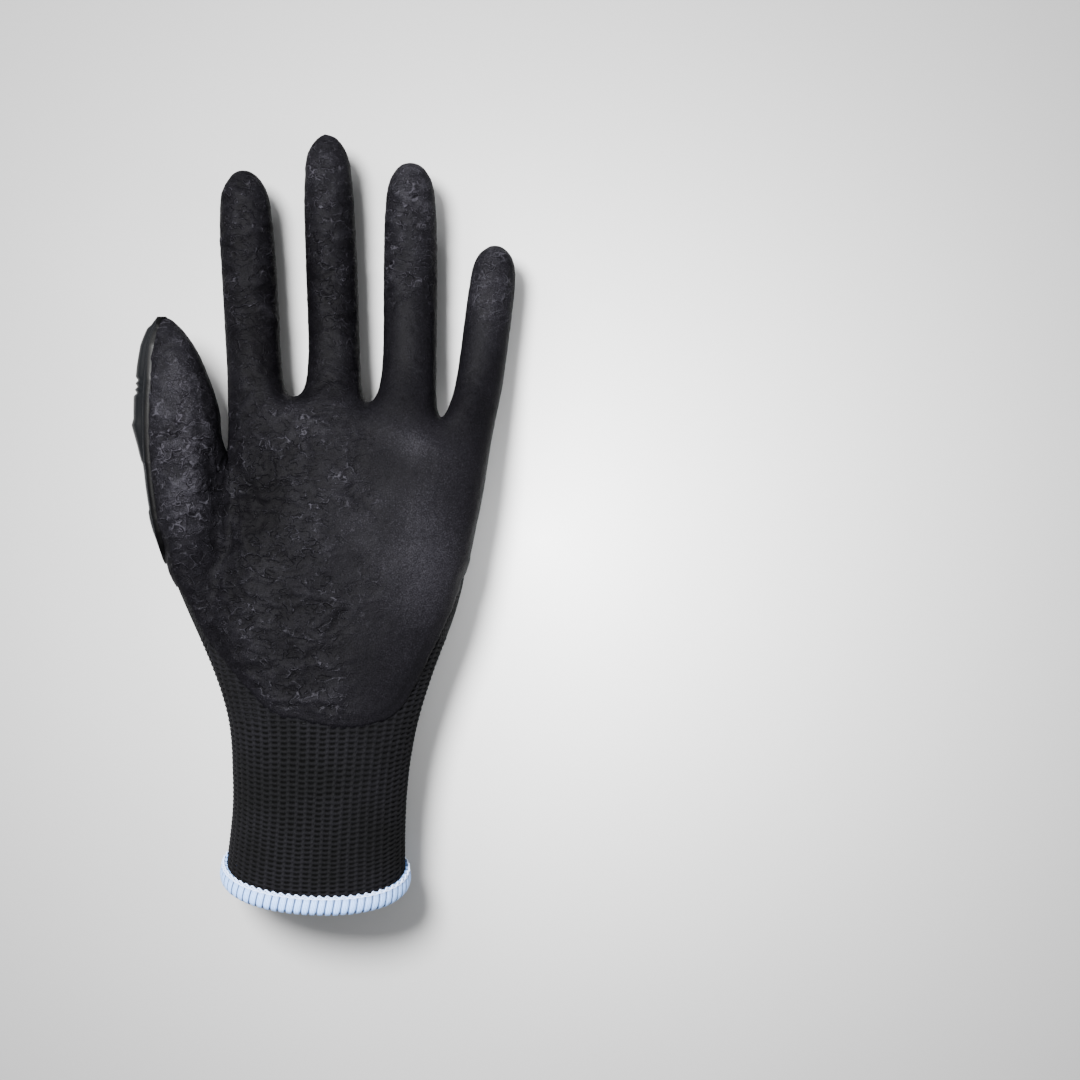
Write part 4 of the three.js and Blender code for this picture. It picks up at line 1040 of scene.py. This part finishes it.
def buildChain(edge, out, past, share):
    dense = 6
    fine = np.arange(len(share) * dense) / (len(share) * dense)
    pick = lambda table: np.stack([np.interp(fine, np.append(share, 1), np.append(table[:, k], table[0, k])) for k in range(3)], 1)
    edge, out, past = pick(edge), pick(out), pick(past)
    turn = fine * hem["segments"] * 2 * math.pi
    paths = [
        (1.25 + 0.2 * np.cos(turn), -4.0 - 0.4 * np.sin(turn) - 0.12 * np.sin(2 * turn), 0.26),
        (1.5 + 0.1 * np.sin(turn), -3.4 - 0.12 * np.cos(turn), 0.22),
        (1.2 + 0.2 * np.sin(turn), -3.7 + 0.3 * np.cos(turn + 0.6), 0.2),
    ]
    allPoints, allQuads, strands = [], [], []
    start = 0
    for outwards, down, radius in paths:
        slim = mix(0.3, 1.0, smoothstep(-7, 1, edge[:, 2] - edge[:, 2].mean()))
        path = edge + out * (outwards * slim)[:, None] + past * down[:, None]
        points, quads = tube(path[::6], radius, 6)
        allPoints.append(points)
        allQuads.append(quads + start)
        strands.append(np.tile(np.arange(6) / 6, len(points) // 6) + np.repeat(np.arange(len(points) // 6), 6) * 0.12)
        start += len(points)
    strand = np.concatenate(strands)
    values = {"strand": strand, "creviceShade": np.zeros(len(strand))}
    piece = makeMesh("hemChain", np.concatenate(allPoints), np.concatenate(allQuads), values)
    material = threadMaterial("chainThread", hem["chain"], hem["chain"], hem["creviceShade"], 3)
    finish(piece, material, ["cuff_hem"])


buildHem()

# Moulded rubber guards, draped on the hand

guards = {
    "flange": 1.4, "fingerHeight": 4.3, "fingerWidth": 13.0, "fingerSpan": (0.14, 0.9),
    "thumbHeight": 4.5, "thumbWidth": 17.0, "thumbLine": -0.3, "thumbSpan": (-0.62, 1.015), "thumbRise": (0.93, 1.02), "tipDrop": 0.19,
    "padLength": 20.0, "padWidth": 17.0, "margin": 4.0, "chamfer": 2.2, "corner": 0.28, "taper": 0.3,
    # colours: darkest on the raised body and lighter on the flange, painted light on the flange; the paler rubbed
    # colour is edge wear and painted highlight; the near-black last one is painted contact shadow
    "dark": (0.0017, 0.0019, 0.0023, 1), "body": (0.0022, 0.0024, 0.0029, 1), "rubbedAndHighlight": (0.0048, 0.0052, 0.0064, 1),
    "rimContactShadow": (0.0003, 0.0003, 0.0004, 1),
}
fingerProfile = [
    (0, .4, -.25), (.07, .8, 0), (.14, .95, .1), (.17, 1, .75), (.34, 1, .85), (.36, 1, .25), (.39, 1, .95), (.42, 1, .3),
    (.45, 1, 1), (.48, 1, .3), (.51, 1, 1), (.66, .96, 1), (.84, .85, .5), (.87, .8, 0), (.96, .6, -.1), (1, .35, -.25),
]
thumbProfile = [
    (0, .06, -.85), (.02, .3, -.6), (.04, .5, -.45), (.08, .66, -.15), (.13, .78, .08), (.18, .84, .14), (.214, .86, .1), (.222, .87, -.1),
    (.37, .94, -.2), (.405, .96, -.1), (.415, .96, .1), (.48, .98, .45), (.562, 1, 1), (.587, 1, .78), (.68, 1, .78),
    (.692, 1, .35), (.704, 1, .74), (.717, 1, .32), (.73, 1, .7), (.742, 1, .3), (.755, .98, .66), (.8, .92, .66),
    (.885, .76, .58), (.955, .5, .25), (.965, .45, 0), (1, .2, -.3),
]
guardSection = [  # across, flange, body
    (-1, .35, 0), (-.975, .8, 0), (-.93, 1.12, 0), (-.87, 1.12, 0), (-.82, .86, 0), (-.77, .8, 0), (-.71, .95, .22), (-.64, 1, .6),
    (-.52, 1, .76), (-.3, 1, .92), (0, 1, 1), (.3, 1, .92), (.52, 1, .76), (.64, 1, .6), (.71, .95, .22), (.77, .8, 0),
    (.82, .86, 0), (.87, 1.12, 0), (.93, 1.12, 0), (.975, .8, 0), (1, .35, 0),
]


def handTree(offset, coatOffset):
    step = 4
    grid = fineGrid[:, ::step, ::step]
    used, packed = np.unique(quadsOf(grid), return_inverse=True)
    points = finePoints[used]
    lift = offset + (coatOffset - offset) * smoothstep(-1, 1, coatDepth(points))
    places = points[:, :3] + fineNormals[used] * lift[:, None]
    return BVHTree.FromPolygons([Vector(p) for p in places], packed.reshape(-1, 4).tolist())


bareTree = handTree(0.0, 0.0)


def dropOnto(tree, places, outward):
    found = np.full(len(places), np.nan)
    for k, place in enumerate(places):
        start = Vector(place + outward * 160)
        hit = tree.ray_cast(start, Vector(-outward))
        if hit[0] is not None:
            found[k] = hit[0].dot(Vector(outward))
    return found


def guardShell(name, centres, across, outward, halfWidths, crests, bodyHeight, seat, columns, steepest=1.0):
    n = len(columns)
    aims = centres[:, None] + across[None, None] * (columns[None, :, 0] * halfWidths[:, None])[..., None]
    level = dropOnto(bareTree, aims.reshape(-1, 3), outward).reshape(len(centres), n)
    middle = level[:, n // 2]
    level[np.abs(level - np.nanmedian(middle)) > 8] = np.nan
    for i in range(len(level) // 2, len(level)):  # the end goes on straight where the hand falls away
        lowest = level[i - 1, n // 2] - steepest
        if not level[i, n // 2] > lowest:
            narrower = (halfWidths[i] / halfWidths[i - 1]) ** 2
            level[i] = lowest + (level[i - 1] - level[i - 1, n // 2]) * narrower
    for j in range(n // 2 + 1, n):
        missed = np.isnan(level[:, j])
        level[missed, j] = level[missed, j - 1]
    for j in range(n // 2 - 1, -1, -1):
        missed = np.isnan(level[:, j])
        level[missed, j] = level[missed, j + 1]
    lowered = 1 + np.minimum(crests, 0)
    height = guards["flange"] * columns[None, :, 1] * lowered[:, None] + bodyHeight * columns[None, :, 2] * np.maximum(crests, 0)[:, None]
    flatAims = aims - outward * (aims @ outward)[..., None]
    top = flatAims + outward * (level + seat + height)[..., None]
    top[..., 2] = np.maximum(top[..., 2], 0)
    bottom = flatAims + outward * (level - 0.3)[..., None]
    points = np.concatenate([top.reshape(-1, 3), bottom.reshape(-1, 3)])
    shape = (len(centres), n)
    upper = np.arange(shape[0] * shape[1]).reshape(shape)
    lower = upper + upper.size
    quads = [quadsOf(upper), quadsOf(lower)[:, ::-1]]
    rims = [(upper[:, 0], lower[:, 0], 1), (upper[:, -1], lower[:, -1], -1), (upper[0], lower[0], -1), (upper[-1], lower[-1], 1)]
    for high, low, way in rims:
        rim = np.stack([high[:-1], high[1:], low[1:], low[:-1]], 1)
        quads.append(rim[:, ::way])
    quads = np.concatenate(quads)
    # the flange's outer rim columns and the underside are marked -1, which the rubber paints near-black as painted
    # contact shadow
    share = np.clip(height / (guards["flange"] + bodyHeight), 0, 1) - (np.abs(columns[None, :, 0]) > 0.94)
    share = np.concatenate([share.ravel(), np.full(upper.size, -1.0)])
    piece = makeMesh(name, points, quads, {"raised": share})
    fixNormals(piece)
    return piece


def fixNormals(piece):
    shape = bmesh.new()
    shape.from_mesh(piece.data)
    bmesh.ops.recalc_face_normals(shape, faces=shape.faces)
    shape.to_mesh(piece.data)
    shape.free()
    piece.data.update()


def rubberMaterial(name, gloss):
    material, tree = newMaterial(name)
    place = objectPlace(tree)
    grain = useGroup(tree, grainGroup, {"Place": place, "Grain Size": 0.5, "Cloud Size": 12.0})
    raised = attribute(tree, "raised")
    edge = addNode(tree, "ShaderNodeNewGeometry").outputs["Pointiness"]
    # convex edges are painted paler, partly edge wear and partly a painted highlight on the flange's bead, with random
    # cloud
    rubAndHighlight = calc(tree, "ADD", spread(tree, edge, 0.5, 0.56), calc(tree, "MULTIPLY", grain["Cloud"], 0.25), clamp=True)
    # painted light: the flange is painted lighter than the raised body of the same rubber
    base = mixColour(tree, spread(tree, raised, 0.1, 0.7), guards["body"], guards["dark"])
    colour = mixColour(tree, calc(tree, "MULTIPLY", rubAndHighlight, 0.4), base, guards["rubbedAndHighlight"])
    # painted contact shadow: near-black on the flange's outer rim and the underside
    colour = mixColour(tree, spread(tree, raised, -0.8, -0.1, 1.0, 0.0), colour, guards["rimContactShadow"])
    roughness = spread(tree, grain["Cloud"], 0, 1, gloss + 0.08, gloss - 0.06)
    bump = addNode(tree, "ShaderNodeBump", {"Height": grain["Grain"], "Strength": 0.35, "Distance": 0.00012})
    closeMaterial(tree, colour, roughness, bump.outputs["Normal"], Specular_IOR_Level=0.08)
    return material


rubber = rubberMaterial("guardRubber", 0.42)


def profileAt(table, count):
    table = np.array(table, float)
    along = np.linspace(0, 1, count)
    width = np.interp(along, table[:, 0], table[:, 1])
    crest = np.interp(along, table[:, 0], table[:, 2])
    kernel = np.array([1, 2, 1]) / 4
    crest = np.convolve(np.pad(crest, 1, "edge"), kernel, "valid")
    return along, width, crest


def sectionAt(count):
    table = np.array(guardSection)
    across = np.interp(np.linspace(0, 1, count), np.linspace(0, 1, len(table)), table[:, 0])
    return np.stack([across, np.interp(across, table[:, 0], table[:, 1]), np.interp(across, table[:, 0], table[:, 2])], 1)


def buildFingerGuards():
    columns = sectionAt(33)
    outward = np.array([0, 0, -1.0])
    for finger in fingers:
        along, width, crest = profileAt(fingerProfile, 120)
        length = finger[3] * glove["handLength"]
        y = glove["webReach"] + mix(guards["fingerSpan"][0], guards["fingerSpan"][1], along) * length
        centres = np.stack([fingerX(finger, y), y, np.full(len(y), 10.0)], 1)
        across = np.array([1, -finger[2], 0]) / math.hypot(1, finger[2])
        halfWidths = guards["fingerWidth"] * width / 2
        piece = guardShell(
            finger[0] + "Guard", centres, across, outward, halfWidths, crest,
            guards["fingerHeight"] - guards["flange"], glove["seatGap"], columns,
        )
        finish(piece, rubber, [finger[0] + "_guard"])


def buildThumbGuard():
    columns = sectionAt(45)
    along, width, crest = profileAt(thumbProfile, 240)
    web = cage["thumbWeb"]
    y = web[1] + mix(guards["thumbSpan"][0], guards["thumbSpan"][1], along) * thumb["reach"]
    z = thumb["height"] * mix(guards["thumbRise"][0], guards["thumbRise"][1], along)
    centres = np.stack([np.full(len(y), web[0] + guards["thumbLine"] * thumb["reach"]), y, z], 1)
    seat = 2 * glove["seatGap"] + glove["coatThickness"]
    piece = guardShell(
        "thumbGuard", centres, np.array([0, 0, -1.0]), np.array([-1.0, 0, 0]), guards["thumbWidth"] * width / 2, crest,
        guards["thumbHeight"] - guards["flange"], seat, columns, guards["tipDrop"],
    )
    finish(piece, rubber, ["thumb_guard"])


def buildKnuckleGuard():
    centres = [fingerX(finger, 0) for finger in fingers]
    shift = centres[1]
    left = centres[0] - guards["padWidth"] / 2 + guards["margin"] * 0.5 - shift
    right = centres[3] + guards["padWidth"] / 2 - guards["margin"] * 0.6 - shift
    across = np.linspace(0, 1, 200)
    endness = np.abs(2 * across - 1) ** 6
    x = mix(left, right, across)
    half = (guards["padLength"] / 2 + guards["margin"]) * (1 - guards["taper"] * endness)
    rows = np.linspace(-1, 1, 73)
    xs = np.repeat(x[:, None], len(rows), 1)
    ys = rows[None, :] * half[:, None]
    outward = np.array([0, 0, -1.0])
    aims = np.stack([xs, ys, np.full(xs.shape, 10.0)], -1).reshape(-1, 3)
    surface = -dropOnto(bareTree, aims, outward).reshape(xs.shape)
    surface = np.where(np.isnan(surface), np.nanmax(surface), surface)
    edge = np.minimum(1 - np.abs(rows)[None, :], 0.5) * half[:, None]
    lip = np.clip(edge / 0.8, 0, 1) ** 0.5
    bead = 0.35 * np.exp(-((edge - 1.3) / 0.6) ** 2)
    top = surface - glove["seatGap"] - (guards["flange"] * (0.25 + 0.75 * lip) + bead) * (1 - 0.15 * endness[:, None])
    for i, (centre, finger) in enumerate(zip(centres, fingers)):
        px = centre - shift
        width = guards["padWidth"] * finger[4] / fingers[0][4]
        dx, dy = np.abs(xs - px), np.abs(ys)
        cut = width * guards["corner"]
        corner = (dx + dy - (width / 2 + guards["padLength"] / 2 - cut)) / math.sqrt(2)
        outside = np.maximum(np.maximum(dx - width / 2, dy - guards["padLength"] / 2), corner)
        mask = smoothstep(0, 1, -outside / guards["chamfer"])
        probe = np.array([[px - width / 3, 0, 10.0], [px, 0, 10.0], [px + width / 3, 0, 10.0]])
        low, seat, high = -dropOnto(bareTree, probe, outward)
        if i == 1:
            crown = np.zeros(xs.shape)
        else:
            crown = seat - glove["knuckleHeight"] - glove["seatGap"] + (high - low) / (2 * width / 3) * (xs - px)
        groove = 0.45 * np.exp(-((outside + 4.2) / 0.45) ** 2)
        crown = np.maximum(crown, 0) + groove
        top = np.minimum(top, mix(top, crown, mask))
    shape = xs.shape
    upper = np.arange(xs.size).reshape(shape)
    lower = upper + upper.size
    points = np.concatenate([np.stack([xs, ys, top], -1).reshape(-1, 3), np.stack([xs, ys, surface + 0.3], -1).reshape(-1, 3)])
    quads = [quadsOf(upper), quadsOf(lower)]
    for high, low in ((upper[:, 0], lower[:, 0]), (upper[:, -1], lower[:, -1]), (upper[0], lower[0]), (upper[-1], lower[-1])):
        quads.append(np.stack([high[:-1], high[1:], low[1:], low[:-1]], 1))
    raised = np.clip((surface - top) / guards["padLength"] * 2.5, 0, 1)
    values = {"raised": np.concatenate([raised.ravel(), np.zeros(upper.size)])}
    piece = makeMesh("knuckleGuard", points, np.concatenate(quads), values)
    fixNormals(piece)
    finish(piece, rubber, ["knuckle_guard"])


buildFingerGuards()
buildThumbGuard()
buildKnuckleGuard()

# Floor, lights and camera

studio = {
    # the floor's centre and edge colours and their fade make a painted pool of light
    "paintedPoolCentre": (0.95, 0.95, 0.95, 1), "paintedPoolEdge": (0.09, 0.09, 0.09, 1), "floorMiddle": (0.0707, -0.02),
    "paintedPoolFade": 0.107, "cameraHeight": 1.0, "lens": 98.0,
    "keyPower": 118.0, "fillPower": 7.0, "rakePower": 11.0, "edgePower": 5.0, "sky": 0.35,
}


def buildFloor():
    size = 1500.0
    points = np.array([[-size, -size, 0], [size, -size, 0], [size, size, 0], [-size, size, 0]])
    floor = makeMesh("studioFloor", points, np.array([[0, 1, 2, 3]]))
    material, tree = newMaterial("paleFloor")
    place = objectPlace(tree)
    middle = studio["floorMiddle"] + (0.0,)
    # painted pool of light: the floor colour is pale in the middle and fades to dark away from it
    away = addNode(tree, "ShaderNodeVectorMath", {0: place, 1: middle}, operation="DISTANCE").outputs["Value"]
    share = calc(tree, "POWER", math.e, calc(tree, "MULTIPLY", away, -1 / studio["paintedPoolFade"]))
    soft = noiseTex(tree, place, 900.0, 2.0)
    colour = mixColour(tree, share, studio["paintedPoolEdge"], studio["paintedPoolCentre"])
    roughness = spread(tree, soft, 0.3, 0.7, 0.78, 0.86)
    bump = addNode(tree, "ShaderNodeBump", {"Height": soft, "Strength": 0.05, "Distance": 0.0001})
    closeMaterial(tree, colour, roughness, bump.outputs["Normal"], Specular_IOR_Level=0.1)
    floor.data.materials.append(material)


def areaLight(name, place, aim, size, power, colour=(1, 1, 1)):
    data = bpy.data.lights.new(name, "AREA")
    data.shape = "DISK"
    data.size = size
    data.energy = power
    data.color = colour
    light = bpy.data.objects.new(name, data)
    light.location = place
    light.rotation_euler = (Vector(aim) - Vector(place)).to_track_quat("-Z", "Y").to_euler()
    bpy.context.scene.collection.objects.link(light)


buildFloor()
centre = (studio["floorMiddle"][0], studio["floorMiddle"][1], 0.0)
areaLight("keyLight", (-0.37, 0.42, 1.25), centre, 0.45, studio["keyPower"])
areaLight("rakeLight", (-0.66, 0.56, 0.75), centre, 0.6, studio["rakePower"])
areaLight("topLight", (0.1, 0.1, 1.6), centre, 1.2, studio["fillPower"])
areaLight("edgeLight", (0.75, -0.15, 0.5), centre, 0.5, studio["edgePower"])

world = bpy.data.worlds.new("studioWorld")
world.use_nodes = True
world.node_tree.nodes["Background"].inputs[0].default_value = (0.9, 0.92, 0.95, 1)
world.node_tree.nodes["Background"].inputs[1].default_value = studio["sky"]
bpy.context.scene.world = world

cameraData = bpy.data.cameras.new("camera")
cameraData.lens = studio["lens"]
cameraData.sensor_width = 36.0
camera = bpy.data.objects.new("camera", cameraData)
camera.location = (0.070667, -0.02, studio["cameraHeight"])
bpy.context.scene.collection.objects.link(camera)
bpy.context.scene.camera = camera
print("stage, lights and camera")
